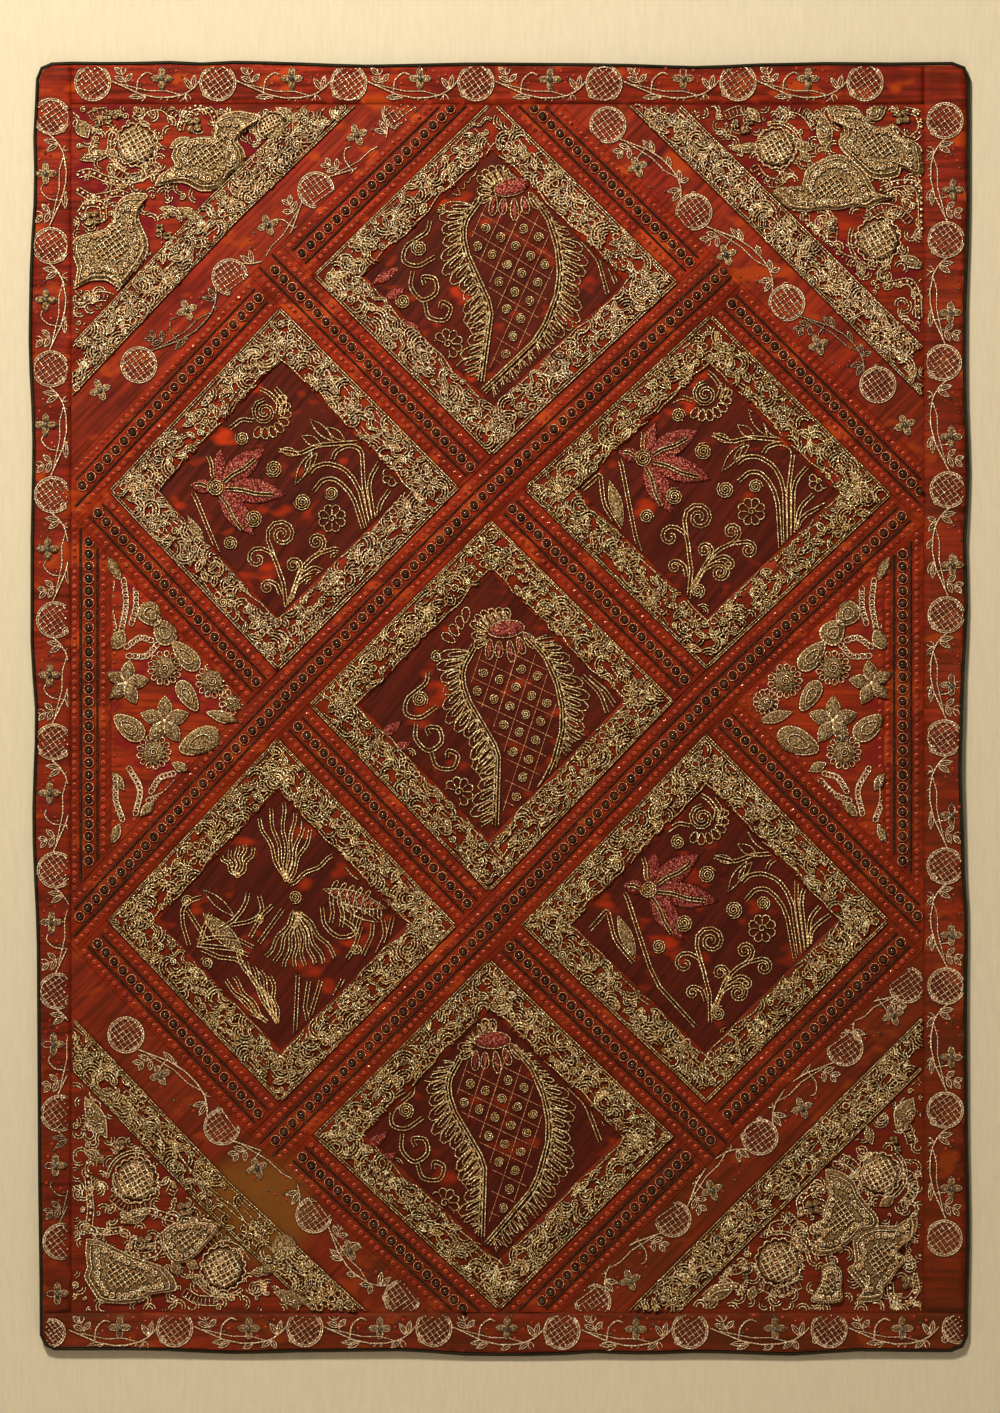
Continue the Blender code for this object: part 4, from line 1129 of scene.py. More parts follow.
# The lattice, in millimetres across and up, which the ribbons and their beads follow
CROSSINGS = {
    "foot_top_left": (-41.0, -37.0), "foot_top_right": (26.5, -37.0), "top_left": (-198.5, -191.0),
    "top_right": (189.5, -198.0), "edge_upper_left": (-380.5, -385.0), "edge_upper_right": (381.0, -389.0),
    "centre_top": (-8.5, -382.5), "middle_left": (-201.0, -577.0), "middle_right": (185.0, -574.0),
    "edge_lower_left": (-382.0, -772.0), "edge_lower_right": (379.5, -772.0),
    "centre_bottom": (-10.5, -776.5),
    "bottom_left": (-198.5, -965.5), "bottom_right": (185.0, -965.5), "foot_bottom_left": (-29.5, -1124.5),
    "foot_bottom_right": (26.5, -1124.5),
}
RIBBON_PATHS = {
    "ribbon_rise_1_lower": ("edge_upper_left", "top_left"),
    "ribbon_rise_1_upper": ("top_left", "foot_top_left"),
    "ribbon_rise_2": ("edge_lower_left", "middle_left", "centre_top", "top_right"),
    "ribbon_rise_3": ("bottom_left", "centre_bottom", "middle_right", "edge_upper_right"),
    "ribbon_rise_4_lower": ("foot_bottom_right", "bottom_right"),
    "ribbon_rise_4_upper": ("bottom_right", "edge_lower_right"),
    "ribbon_fall_1_upper": ("foot_top_right", "top_right"),
    "ribbon_fall_1_lower": ("top_right", "edge_upper_right"),
    "ribbon_fall_2_upper": ("top_left", "centre_top"),
    "ribbon_fall_2_middle": ("centre_top", "middle_right"),
    "ribbon_fall_2_lower": ("middle_right", "edge_lower_right"),
    "ribbon_fall_3_upper": ("edge_upper_left", "middle_left"),
    "ribbon_fall_3_middle": ("middle_left", "centre_bottom"),
    "ribbon_fall_3_lower": ("centre_bottom", "bottom_right"),
    "ribbon_fall_4_upper": ("edge_lower_left", "bottom_left"),
    "ribbon_fall_4_lower": ("bottom_left", "foot_bottom_left"),
}
PATCH_BACK = 1.8 * MM


def crossing(name: str) -> np.ndarray:
    """One crossing of the lattice, in metres."""
    return np.array(CROSSINGS[name]) * MM


def run_on(path: np.ndarray, step: float, reach: float = 0.06) -> Path:
    """A bent line with its ends run on, with a point every step."""
    first = path[0] - path[1]
    last = path[-1] - path[-2]
    ends = np.vstack([path[0] + first / np.linalg.norm(first) * reach, path[1:-1],
                      path[-1] + last / np.linalg.norm(last) * reach])
    pieces = []
    for start, end in zip(ends, ends[1:]):
        count = max(2, round(np.linalg.norm(end - start) / step))
        pieces.append(start + (end - start) * np.linspace(0, 1, count, endpoint=False)[:, None])
    return np.vstack([*pieces, ends[-1:]])


@dataclass
class BeadedRibbon:
    """A silk ribbon with a row of ringed beads between two dark cords, and a row of sequins at each side."""

    node: str
    path: np.ndarray
    cord_offset: float = 8.1 * MM
    sequin_offset: float = 13.4 * MM
    bead_pitch: float = 10.9 * MM
    bead_radius: float = 2.9 * MM
    ring_radius: float = 4.6 * MM
    sequin_pitch: float = 6.6 * MM

    def across(self, places: np.ndarray) -> np.ndarray:
        """Distance of each place from the ribbon's middle line."""
        return line_distance(places, run_on(self.path, 1.0, 0.2))

    def surface(self, places: np.ndarray) -> np.ndarray:
        """Front of the silk: puffed between the cords, drawn down along them."""
        far = self.across(places) / self.cord_offset
        puff = 1.15 * MM * np.clip(np.cos(np.clip(far, 0, 1) * math.pi / 2), 0, 1) ** 0.5
        side = 0.7 * MM * np.clip(np.sin(np.clip((far - 1) / 1.35, 0, 1) * math.pi), 0, 1)
        return PATCH_BACK + 1.35 * MM + puff + side + ripple(places, 0.017, 0.22 * MM, 1.0)

    def make(self, shop: Workshop) -> None:
        """Makes the silk and all that is sewn on it."""
        ClothPiece(self.node, Look.RIBBON, self.surface, PATCH_BACK, 0.0045).make(shop)
        outline = outlines_of(self.node)[0]
        work = Needlework(self.node, self.surface, outline)
        middle = run_on(self.path, 0.006)
        for side in (-1, 1):
            work.lay(beside(middle, side * self.cord_offset), Look.BLACK_CORD, 1.0 * MM, lift=0.25 * MM)
            row = run_on(self.path, self.sequin_pitch)
            work.dot(beside(row, side * self.sequin_offset), Look.SEQUIN, 2.35 * MM, sit=0.25, flat=True)
        row = run_on(self.path, self.bead_pitch)
        row = row[inside(row, outline)]
        row = row[edge_distance(row, outline) > self.bead_radius * 1.1]
        work.dot(row, Look.BEAD, self.bead_radius, sit=0.75)
        for place in row:
            work.lay(arc(place, self.ring_radius, 0, 360), Look.PINK_THREAD, 0.65 * MM, lift=0.55 * MM)
        shop.stitch(work)


@dataclass
class UprightRibbon(BeadedRibbon):
    """A beaded ribbon beside a half diamond, narrower than those of the lattice."""

    cord_offset: float = 7.6 * MM
    sequin_offset: float = 13.0 * MM


def unevenly(places: np.ndarray, seed: int) -> np.ndarray:
    """Slow unevenness between about -1 and 1."""
    return ripple(places, 0.055, 1.0, seed * 1.3)


def padding(distance: np.ndarray, reach: float) -> np.ndarray:
    """Share of a pad's height at a distance inside its edge."""
    return np.sqrt(np.clip(1 - (1 - np.clip(distance / reach, 0, 1)) ** 2, 0, 1))


@dataclass
class GoldWork:
    """A band of red silk, padded and covered with scrolls, coils and curved runs of gold thread.

    Args:
        node: The solid that it stands for.
        seed: What its uneven stitches follow from.
        look: The finish of its thread.
        crown: How far its padding rises.
        thread: Radius of its thread.
        pitch: Distance from one scattered stitch to the next.
        wave: Distance from one bloom to the next.
    """

    node: str
    seed: int
    look: Look = Look.GOLD
    crown: float = 2.4 * MM
    thread: float = 0.95 * MM
    pitch: float = 7.9 * MM
    wave: float = 44.0 * MM

    def front(self, places: np.ndarray) -> np.ndarray:
        """The padded front, low along both edges."""
        near = np.minimum.reduce([edge_distance(places, loop) for loop in self.loops])
        padded = self.crown * padding(near, 15 * MM)
        return PATCH_BACK + 1.4 * MM + padded + 0.3 * MM * unevenly(places, self.seed)

    def make(self, shop: Workshop) -> None:
        """Makes the padded band and its thread work."""
        self.loops = outlines_of(self.node)
        self.rng = np.random.default_rng(self.seed)
        ClothPiece(self.node, Look.FRAME_GROUND, self.front, PATCH_BACK, 0.0065).make(shop)
        work = Needlework(self.node, self.front, self.loops[0], 0.2 * MM, self.loops[1:])
        for start, end, depth in self.sides():
            self.side(work, start, end, depth)
        shop.stitch(work)

    def sides(self) -> list[tuple[np.ndarray, np.ndarray, float]]:
        """Long sides of the band: outer start, outer end and width, with the band on the left."""
        outer = self.loops[0]
        found = []
        inner = self.loops[1] if len(self.loops) > 1 else None
        for start, end in zip(outer, np.roll(outer, -1, axis=0)):
            if np.linalg.norm(end - start) < 60 * MM:
                continue
            if inner is None:
                found.append((start, end, 19 * MM))
                continue
            middle = (start + end) / 2
            near = edge_distance(middle[None, :], inner)[0]
            if near < 45 * MM and near > 20 * MM:
                found.append((start, end, near))
        return found

    def side(self, work: Needlework, start: np.ndarray, end: np.ndarray, depth: float) -> None:
        """Works one side from its outer edge inwards."""
        length = np.linalg.norm(end - start)
        way = (end - start) / length
        inward = left_of(way)

        def place(along: np.ndarray, aside: np.ndarray) -> Path:
            """Places along the side and in from its outer edge."""
            return start + np.multiply.outer(along, way) + np.multiply.outer(aside, inward)

        steps = np.arange(0, length + 2 * MM, 4 * MM)
        for aside in (1.4, 3.3):
            shake = 0.4 * MM * np.sin(steps / (9 * MM) + aside * 3 + self.seed)
            work.lay(place(steps, aside * MM + shake), self.look, 0.9 * MM, tone=self.rng.uniform(0.1, 0.6))
        drift = 1.6 * MM * np.sin(steps / (13 * MM) + self.seed) + 1.0 * MM * np.sin(steps / (5.1 * MM))
        work.lay(place(steps, depth - 2.8 * MM + drift), self.look, self.thread, tone=0.4)
        for aside in np.arange(6.0, depth / MM - 4.0, 4.6):
            for first in np.arange(self.rng.uniform(0, 20), length / MM, 34):
                run = np.arange(first, min(first + self.rng.uniform(14, 32), length / MM), 5.6) * MM
                shake = 1.1 * MM * np.sin(run / (4.3 * MM) + aside + self.seed)
                if len(run) < 3 or self.worn_away(place(run[len(run) // 2], aside * MM)):
                    continue
                if len(self.loops) == 1 or min(run[0], length - run[-1]) > aside * 0.9 * MM:
                    work.lay(place(run, aside * MM + shake), self.look, 0.9 * MM,
                             tone=self.rng.uniform(0.3, 0.9))
        phase = self.rng.uniform(0, 1)
        blooms = []
        for k in range(int(length / self.wave)):
            along = (k + phase) * self.wave + self.rng.uniform(-6, 6) * MM
            blooms.append((along, depth * (0.42 + 0.2 * (-1) ** k)))
            self.bloom(work, place(*blooms[-1]))
        rows = max(2, int((depth - 5 * MM) / self.pitch))
        for i in range(int(length / self.pitch)):
            for j in range(rows):
                along = (i + self.rng.uniform(0.15, 0.85)) * self.pitch
                aside = 5.2 * MM + (j + self.rng.uniform(0.2, 0.8)) * (depth - 8 * MM) / rows
                if len(self.loops) > 1 and min(along, length - along) < aside * 0.95:
                    continue
                if self.worn_away(place(along, aside)):
                    continue
                if min([math.hypot(along - u, aside - v) for u, v in blooms] or [1]) > 8.5 * MM:
                    self.motif(work, place(along, aside))

    def worn_away(self, middle: np.ndarray) -> bool:
        """Whether a stitch lies at the bare place and is one of those lost there."""
        return np.linalg.norm(middle - np.array(BARE_PLACE)) < BARE_REACH and self.rng.random() < BARE_SHARE

    def bloom(self, work: Needlework, centre: np.ndarray) -> None:
        """A coil in a ring of looped petals."""
        turn = self.rng.uniform(0, 360)
        work.lay(spiral(centre, 4.2 * MM, 1.9, turn), self.look, self.thread, lift=1.5 * MM, tone=0.1)
        count = int(self.rng.integers(6, 9))
        fan(work, centre, (turn, turn + 360 - 360 / count), count, 6.5 * MM, 5.4 * MM, self.look, 4.6 * MM,
            False,
            self.thread)

    def motif(self, work: Needlework, centre: np.ndarray) -> None:
        """A sheaf of nested arcs, a leaf, a small coil or a double squiggle, at random."""
        rng = self.rng
        kind, angle = rng.random(), rng.uniform(0, 360)
        tone, lift = rng.uniform(0, 0.8), rng.uniform(0.6, 1.3) * MM
        way = heading(math.radians(angle))
        if kind < 0.5:
            span = rng.uniform(80, 170) * rng.choice((-1, 1))
            inner = rng.uniform(2.2, 6.5)
            for k in range(int(rng.integers(2, 4))):
                radius = (inner + 2.7 * k) * MM
                steps = max(4, int(radius * math.radians(abs(span)) / (3.4 * MM)) + 1)
                work.lay(arc(centre - way * inner * MM, radius, angle - span / 2 + rng.uniform(-9, 9),
                             angle + span / 2, steps), self.look, self.thread, lift=lift, tone=tone)
        elif kind < 0.72:
            tip = centre + way * rng.uniform(10, 15) * MM
            outline = leaf(centre, tip, rng.uniform(4.5, 6.5) * MM, 5)
            work.lay(outline, self.look, self.thread, lift=lift, tone=tone)
            work.lay(np.linspace(centre + way * 1.5 * MM, tip - way * 2 * MM, 3), self.look, self.thread,
                     lift=lift + 0.3 * MM, tone=tone)
        elif kind < 0.84:
            work.lay(spiral(centre, rng.uniform(2.6, 4.6) * MM, 1.7, angle), self.look, self.thread,
                     lift=lift,
                     tone=tone)
        else:
            share = np.linspace(-8, 8, 7)[:, None] * MM
            aside = left_of(way) * 2.4 * MM * np.sin(share * 420)
            work.pair(centre + way * share + aside, self.look, self.thread, 1.9 * MM, lift=lift, tone=tone)


# Padded forms, and what is worked on the panels. Tables give places in the photograph's own units

UNIT = 0.9 * MM


def at(x: float, y: float) -> np.ndarray:
    """A place given by its column and row, in metres across and up."""
    return np.array([(x - 500.5) * UNIT, (63.0 - y) * UNIT])


def all_at(places: Sequence[Sequence[float]]) -> np.ndarray:
    """Several places given by columns and rows."""
    return np.array([at(x, y) for x, y in places])


def oval(middle: np.ndarray, long: float, wide: float, turn: float, count: int = 20) -> Path:
    """An oval outline, its two lengths in metres and its turn in degrees."""
    angles = np.linspace(0, TAU, count + 1)
    x, y = long / 2 * np.cos(angles), wide / 2 * np.sin(angles)
    c, s = heading(math.radians(turn))
    return middle + np.stack([x * c - y * s, x * s + y * c], axis=1)


class Relief:
    """The front of cloth and pads that stitches are laid on."""

    def __init__(self, pieces: Sequence[bpy.types.Object], depth: float = PATCH_BACK + 1.6 * MM) -> None:
        """Keeps the pieces' surfaces; depth is used beside them."""
        verts, faces = [], []
        for piece in pieces:
            start = len(verts)
            verts += [v.co.copy() for v in piece.data.vertices]
            faces += [[start + k for k in f.vertices] for f in piece.data.polygons]
        self.tree = BVHTree.FromPolygons(verts, faces)
        self.depth = depth

    def __call__(self, places: np.ndarray) -> np.ndarray:
        """How far in front of the origin each place lies."""
        ahead = Vector((0, 1, 0))
        levels = np.empty(len(places))
        for k, (x, z) in enumerate(places):
            hit = self.tree.ray_cast(Vector((x, -0.1, z)), ahead)[0]
            levels[k] = self.depth if hit is None else -hit.y
        return levels


@dataclass
class Pads:
    """Padded forms of one finish on one cloth, each a low closed dome over its outline."""

    name: str
    look: Look
    level: float
    rings: tuple = ((1.0, -0.1), (0.97, 0.5), (0.84, 0.84), (0.5, 0.97))
    verts: list = field(default_factory=list)
    faces: list = field(default_factory=list)

    def add(self, outline: Path, height: float) -> None:
        """Adds one pad over a closed outline."""
        ring = outline[:-1] if np.allclose(outline[0], outline[-1]) else outline
        ring = ring if signed_area(ring) > 0 else ring[::-1]
        middle = ring.mean(axis=0)
        count, start = len(ring), len(self.verts)
        for share, lift in self.rings:
            level = -self.level - (lift * height if lift > 0 else -0.3 * MM)
            self.verts += [(x, level, z) for x, z in middle + (ring - middle) * share]
        self.verts.append((middle[0], -self.level - height, middle[1]))
        self.faces.append([start + k for k in range(count)][::-1])
        for step in range(len(self.rings) - 1):
            for k in range(count):
                here, after = start + step * count + k, start + step * count + (k + 1) % count
                self.faces.append([here, after, after + count, here + count])
        last, tip = start + (len(self.rings) - 1) * count, len(self.verts) - 1
        self.faces += [[last + k, last + (k + 1) % count, tip] for k in range(count)]

    def make(self, shop: Workshop) -> list[bpy.types.Object]:
        """Makes the pads as one padded piece, if there are any."""
        if not self.verts:
            return []
        mesh = bpy.data.meshes.new(self.name)
        mesh.from_pydata(self.verts, [], self.faces)
        mesh.shade_smooth()
        # How far each point faces forward, which the knotted finish uses to paint shade on the sides
        crown = [-vert.normal.y for vert in mesh.vertices]
        mesh.attributes.new("crown", "FLOAT", "POINT").data.foreach_set("value", crown)
        mesh.materials.append(shop.wardrobe[self.look])
        piece = linked(self.name, mesh)
        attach(piece, BODY)
        return [piece]


def fan(work: Needlework, base: np.ndarray, angles: tuple[float, float], count: int, length: float,
        width: float,
        look: Look = Look.GOLD, reach: float = 0.0, inner: bool = True, radius: float = 1.0 * MM) -> None:
    """Looped petals spread round a base, each with a smaller loop in it.

    Args:
        work: The needlework that they belong to.
        base: The middle that they spread from.
        angles: First and last angle in degrees.
        count: How many petals.
        length: Length of each.
        width: Width of each.
        look: Their finish.
        reach: How far from the base they start.
        inner: Whether each has a smaller loop inside.
        radius: Radius of the cord.
    """
    for angle in np.linspace(*angles, count):
        foot = base + reach * heading(math.radians(angle))
        work.lay(petal(foot, angle, length, width), look, radius, lift=0.2 * MM, tone=0.3)
        if inner:
            small = petal(foot, angle, length * 0.72, width * 0.42, 9)
            work.lay(small, look, radius, lift=0.3 * MM, tone=0.4)


def curl(points: Sequence[Sequence[float]], radius: float, turns: float, side: int) -> Path:
    """A smooth line through places in metres, ended by a spiral on its left (1) or right (-1)."""
    path = smooth_path(points)
    way = path[-1] - path[-2]
    way /= np.linalg.norm(way)
    middle = path[-1] + left_of(way) * radius * side
    away = path[-1] - middle
    start = math.degrees(math.atan2(away[1], away[0]))
    return np.vstack([path, spiral(middle, radius, turns * side, start)[1:]])


def coil(work: Needlework, middle: np.ndarray, radius: float, look: Look = Look.GOLD,
         gap: float = 2.75 * MM,
         cord: float = 0.85 * MM, turn: float = 0.0) -> None:
    """A tight flat coil of cord."""
    turns = max(1.0, radius / gap)
    work.lay(spiral(middle, radius - cord, turns, turn, 0.1, 9), look, cord, lift=0.5 * MM, tone=0.0)


def rosette(work: Needlework, middle: np.ndarray, radius: float, petals: int, look: Look = Look.GOLD,
            cord: float = 0.95 * MM) -> None:
    """A scalloped round with a coil in its middle."""
    angles = np.linspace(0, TAU, petals * 5 + 1)
    reach = radius * (0.78 + 0.22 * np.abs(np.sin(angles * petals / 2)) ** 0.7)
    ring = middle + np.stack([reach * np.cos(angles), reach * np.sin(angles)], axis=1)
    work.lay(ring, look, cord, lift=0.4 * MM, tone=0.25)
    for angle in angles[:-1:5]:
        rib = middle + np.multiply.outer((radius * 0.34, radius * 0.74), heading(angle))
        work.lay(rib, look, cord, lift=0.3 * MM, tone=0.4)
    work.lay(spiral(middle, radius * 0.32, 1.2, 0, 0.2), look, cord, lift=0.5 * MM, tone=0.2)


def netting(work: Needlework, area: Path, pitch: float, look: Look) -> None:
    """A net of crossed cords over an area."""
    middle, reach = area.mean(axis=0), float(np.ptp(area, axis=0).max()) / 2
    for turn in (0.6, 0.6 + TAU / 4):
        way = heading(turn)
        for offset in np.arange(-reach, reach, pitch):
            line = middle + left_of(way) * offset + way * np.arange(-reach, reach, 1.8 * MM)[:, None]
            held = inside(line, area)
            if held.sum() > 2:
                work.lay(line[held], look, 0.95 * MM, lift=0.7 * MM, tone=0.0)


def round_net(middle: np.ndarray, radius: float, pitch: float, turn: float, inset: float,
              count: int) -> list[Path]:
    """Lines of a net in a round, seven each way.

    Args:
        middle: The round's middle.
        radius: Its radius.
        pitch: Distance from one line to the next.
        turn: The angle of the first seven, in radians.
        inset: How far inside the round each line ends.
        count: Points in each line.

    Returns:
        The lines.
    """
    found = []
    for way in (heading(turn), heading(turn + TAU / 4)):
        for k in range(-3, 4):
            reach = math.sqrt(max(radius ** 2 - (k * pitch) ** 2, 0)) - inset
            along = way * np.linspace(-reach, reach, count)[:, None]
            found.append(middle + left_of(way) * k * pitch + along)
    return found


@dataclass
class Panel:
    """A silk panel inside a gold frame. Its motif is drawn by the classes that follow."""

    node: str
    middle: tuple[float, float]
    seed: int
    look: Look = Look.PANEL
    turn: float = 0.0

    def front(self, places: np.ndarray) -> np.ndarray:
        """The silk's front, a little uneven."""
        return PATCH_BACK + 1.5 * MM + ripple(places, 0.05, 0.25 * MM, self.seed)

    def spot(self, dx: float, dy: float) -> np.ndarray:
        """A place by its distance right of and below the motif's middle, in the photograph's units."""
        c, s = heading(math.radians(self.turn))
        return at(self.middle[0] + dx * c - dy * s, self.middle[1] + dx * s + dy * c)

    def line(self, *places: tuple[float, float]) -> Path:
        """A smooth line through places given as for spot."""
        return smooth_path([self.spot(*place) for place in places], 2.6 * MM)

    def make(self, shop: Workshop) -> None:
        """Makes the silk, the pads and the stitches."""
        self.rng = np.random.default_rng(self.seed)
        cloth = ClothPiece(self.node, self.look, self.front, PATCH_BACK, 0.008).make(shop)
        level = PATCH_BACK + 1.4 * MM
        self.pink = Pads(self.node + "_pink_pads", Look.PINK, level)
        self.pale = Pads(self.node + "_pale_pads", Look.PADDED, level)
        self.pads()
        surface = Relief([cloth, *self.pink.make(shop), *self.pale.make(shop)])
        self.work = Needlework(self.node, surface, outlines_of(self.node)[0], 0.8 * MM)
        self.stitches()
        shop.stitch(self.work)

    def pads(self) -> None:
        """Adds the padded forms."""

    def stitches(self) -> None:
        """Adds the cords, coils and beads."""

    def lines(self, *rows: Sequence[tuple]) -> None:
        """Double lines through rows of places."""
        for row in rows:
            self.work.pair(self.line(*row), Look.GOLD, 0.9 * MM, 3.0 * MM, lift=0.2 * MM, tone=0.2)

    def coils(self, *rows: tuple[float, float, float]) -> None:
        """Tight coils, each given by its place and radius."""
        for dx, dy, radius in rows:
            coil(self.work, self.spot(dx, dy), radius * UNIT, turn=self.rng.uniform(0, 360))

    def loop(self, dx: float, dy: float, tip_x: float, tip_y: float, width: float,
             inner: bool = True) -> None:
        """A looped petal from a place to its tip."""
        base, tip = self.spot(dx, dy), self.spot(tip_x, tip_y)
        way = tip - base
        angle = math.degrees(math.atan2(way[1], way[0]))
        fan(self.work, base, (angle, angle), 1, float(np.linalg.norm(way)), width * UNIT, inner=inner,
            radius=0.9 * MM)


@dataclass
class PodPanel(Panel):
    """A great pod: a glittering crown in a ring of loops, over a netted body with looped fringes."""

    tilt: float = 15.0
    left: tuple = ((-30, 14), (-45, 38), (-43, 65), (-29, 95), (-19, 124), (-21, 158), (-28, 195))
    right: tuple = ((18, 10), (35, 34), (44, 65), (45, 95), (38, 122), (22, 152), (-4, 178), (-30, 202))
    drops: tuple = ((-17, 8, -20, 29), (-8, 11, -10, 28), (2, 11, 3, 34), (11, 9, 15, 27), (17, 5, 27, 22))
    fan_tips: tuple = ((-19, 0, -35, -10), (-17, -2, -29, -17), (-13, -4, -22, -21), (-8, -6, -14, -22),
                       (-2, -8, -6, -22), (4, -9, 1, -21), (-20, 5, -35, 3), (-20, 9, -34, 14))

    def pads(self) -> None:
        """The crown and the pink drops under it."""
        self.crown = oval(self.spot(0, 0), 37 * UNIT, 17 * UNIT, self.tilt - self.turn, 20)
        self.pink.add(self.crown, 3.4 * MM)
        for x0, y0, x1, y1 in self.drops:
            self.pink.add(leaf(self.spot(x0, y0), self.spot(x1, y1), 5 * UNIT), 1.4 * MM)
        for foot, tip in (((-141, 98), (-112, 80)), ((-128, 112), (-106, 102)), ((-112, 134), (-90, 146))):
            self.pink.add(leaf(self.spot(*foot), self.spot(*tip), 11 * UNIT), 1.6 * MM)

    def stitches(self) -> None:
        """Crown loops, sides, net, coils, fringes and scrolls."""
        work = self.work
        work.lay(self.crown, Look.GOLD, 1.0 * MM, lift=0.2 * MM)
        for row in self.fan_tips:
            self.loop(*row, 8)
        for row in self.drops:
            self.loop(*row, 8, False)
        left, right = self.line(*self.left), self.line(*self.right)
        for side, path in ((-1, left), (1, right)):
            for k in range(3):
                work.lay(beside(path, side * k * 2.7 * MM), Look.GOLD, 1.05 * MM, lift=0.4 * MM,
                         tone=0.15 + 0.2 * k)
        self.net(np.vstack([left, right[::-1]]))
        self.fringe(self.left, -1)
        self.fringe(self.right, 1)
        self.scrolls()

    def net(self, body: Path) -> None:
        """A slanting net of pink thread inside the body, with a coil in each opening."""
        cut = Needlework("net", self.work.surface, body, 2.4 * MM)
        steps = np.linspace(-9, 9, 60)[:, None]
        down, aside = np.array([15.0, 9.2]), np.array([-8.0, 18.0])
        heart = np.array([3.4, 59.3])
        for k in range(-9, 10):
            for path in (heart + (k + 0.5) * aside + down * steps,
                         heart + (k + 0.5) * down + aside * steps):
                cut.lay(np.array([self.spot(*place) for place in path]), Look.PINK_THREAD, 0.6 * MM)
        for look, cords in cut.cords.items():
            self.work.cords.setdefault(look, []).extend(cords)
        cells = [heart + i * down + j * aside for i in range(-9, 10) for j in range(-9, 10)]
        cells = np.array([self.spot(*cell) for cell in cells if cell[1] > 36])
        cells = cells[inside(cells, body)]
        for cell in cells[edge_distance(cells, body) > 5.5 * MM]:
            coil(self.work, cell, 5.5 * MM, gap=2.4 * MM, cord=0.8 * MM, turn=self.rng.uniform(0, 360))

    def fringe(self, places: tuple, side: int) -> None:
        """Nested loops along the outside of one side, that point out and a little down."""
        path = np.array(smooth_path(places, 12.6))
        outs = normals_of(path)
        for k in range(1, len(path) - 1):
            out = outs[k] if outs[k][0] * side > 0 else -outs[k]
            way = out + np.array([0.0, 0.6])
            way /= np.linalg.norm(way)
            base = path[k] + out * 4.0
            tip = base + way * (26 + 5 * math.sin(k * 1.3))
            self.loop(*base, *tip, 10.6)

    def scrolls(self) -> None:
        """Scrolls, coils and a scalloped flower at the left, and long double lines at the right."""
        self.coils((-93, 61, 9.5), (-109, 114, 8.6), (-72, 20, 7), (88, 60, 6), (-40, 206, 5), (14, 196, 5))
        self.lines(((-82, 34), (-86, 46), (-105, 59), (-108, 74), (-94, 79), (-77, 70)),
                   ((-99, 84), (-101, 100), (-90, 113), (-76, 106), (-77, 92), (-89, 90), (-87, 98)),
                   ((-87, 115), (-83, 130), (-67, 133), (-61, 121), (-70, 115), (-72, 122)),
                   ((71, 54), (86, 73), (92, 94), (97, 112)), ((77, 56), (94, 74), (104, 96)))
        rosette(self.work, self.spot(-64, 157), 15 * UNIT, 9)
        for k in range(4):
            self.loop(-52 + 4 * k, 8 - 6 * k, -64 + 9 * k, -2 - 8 * k, 8, False)


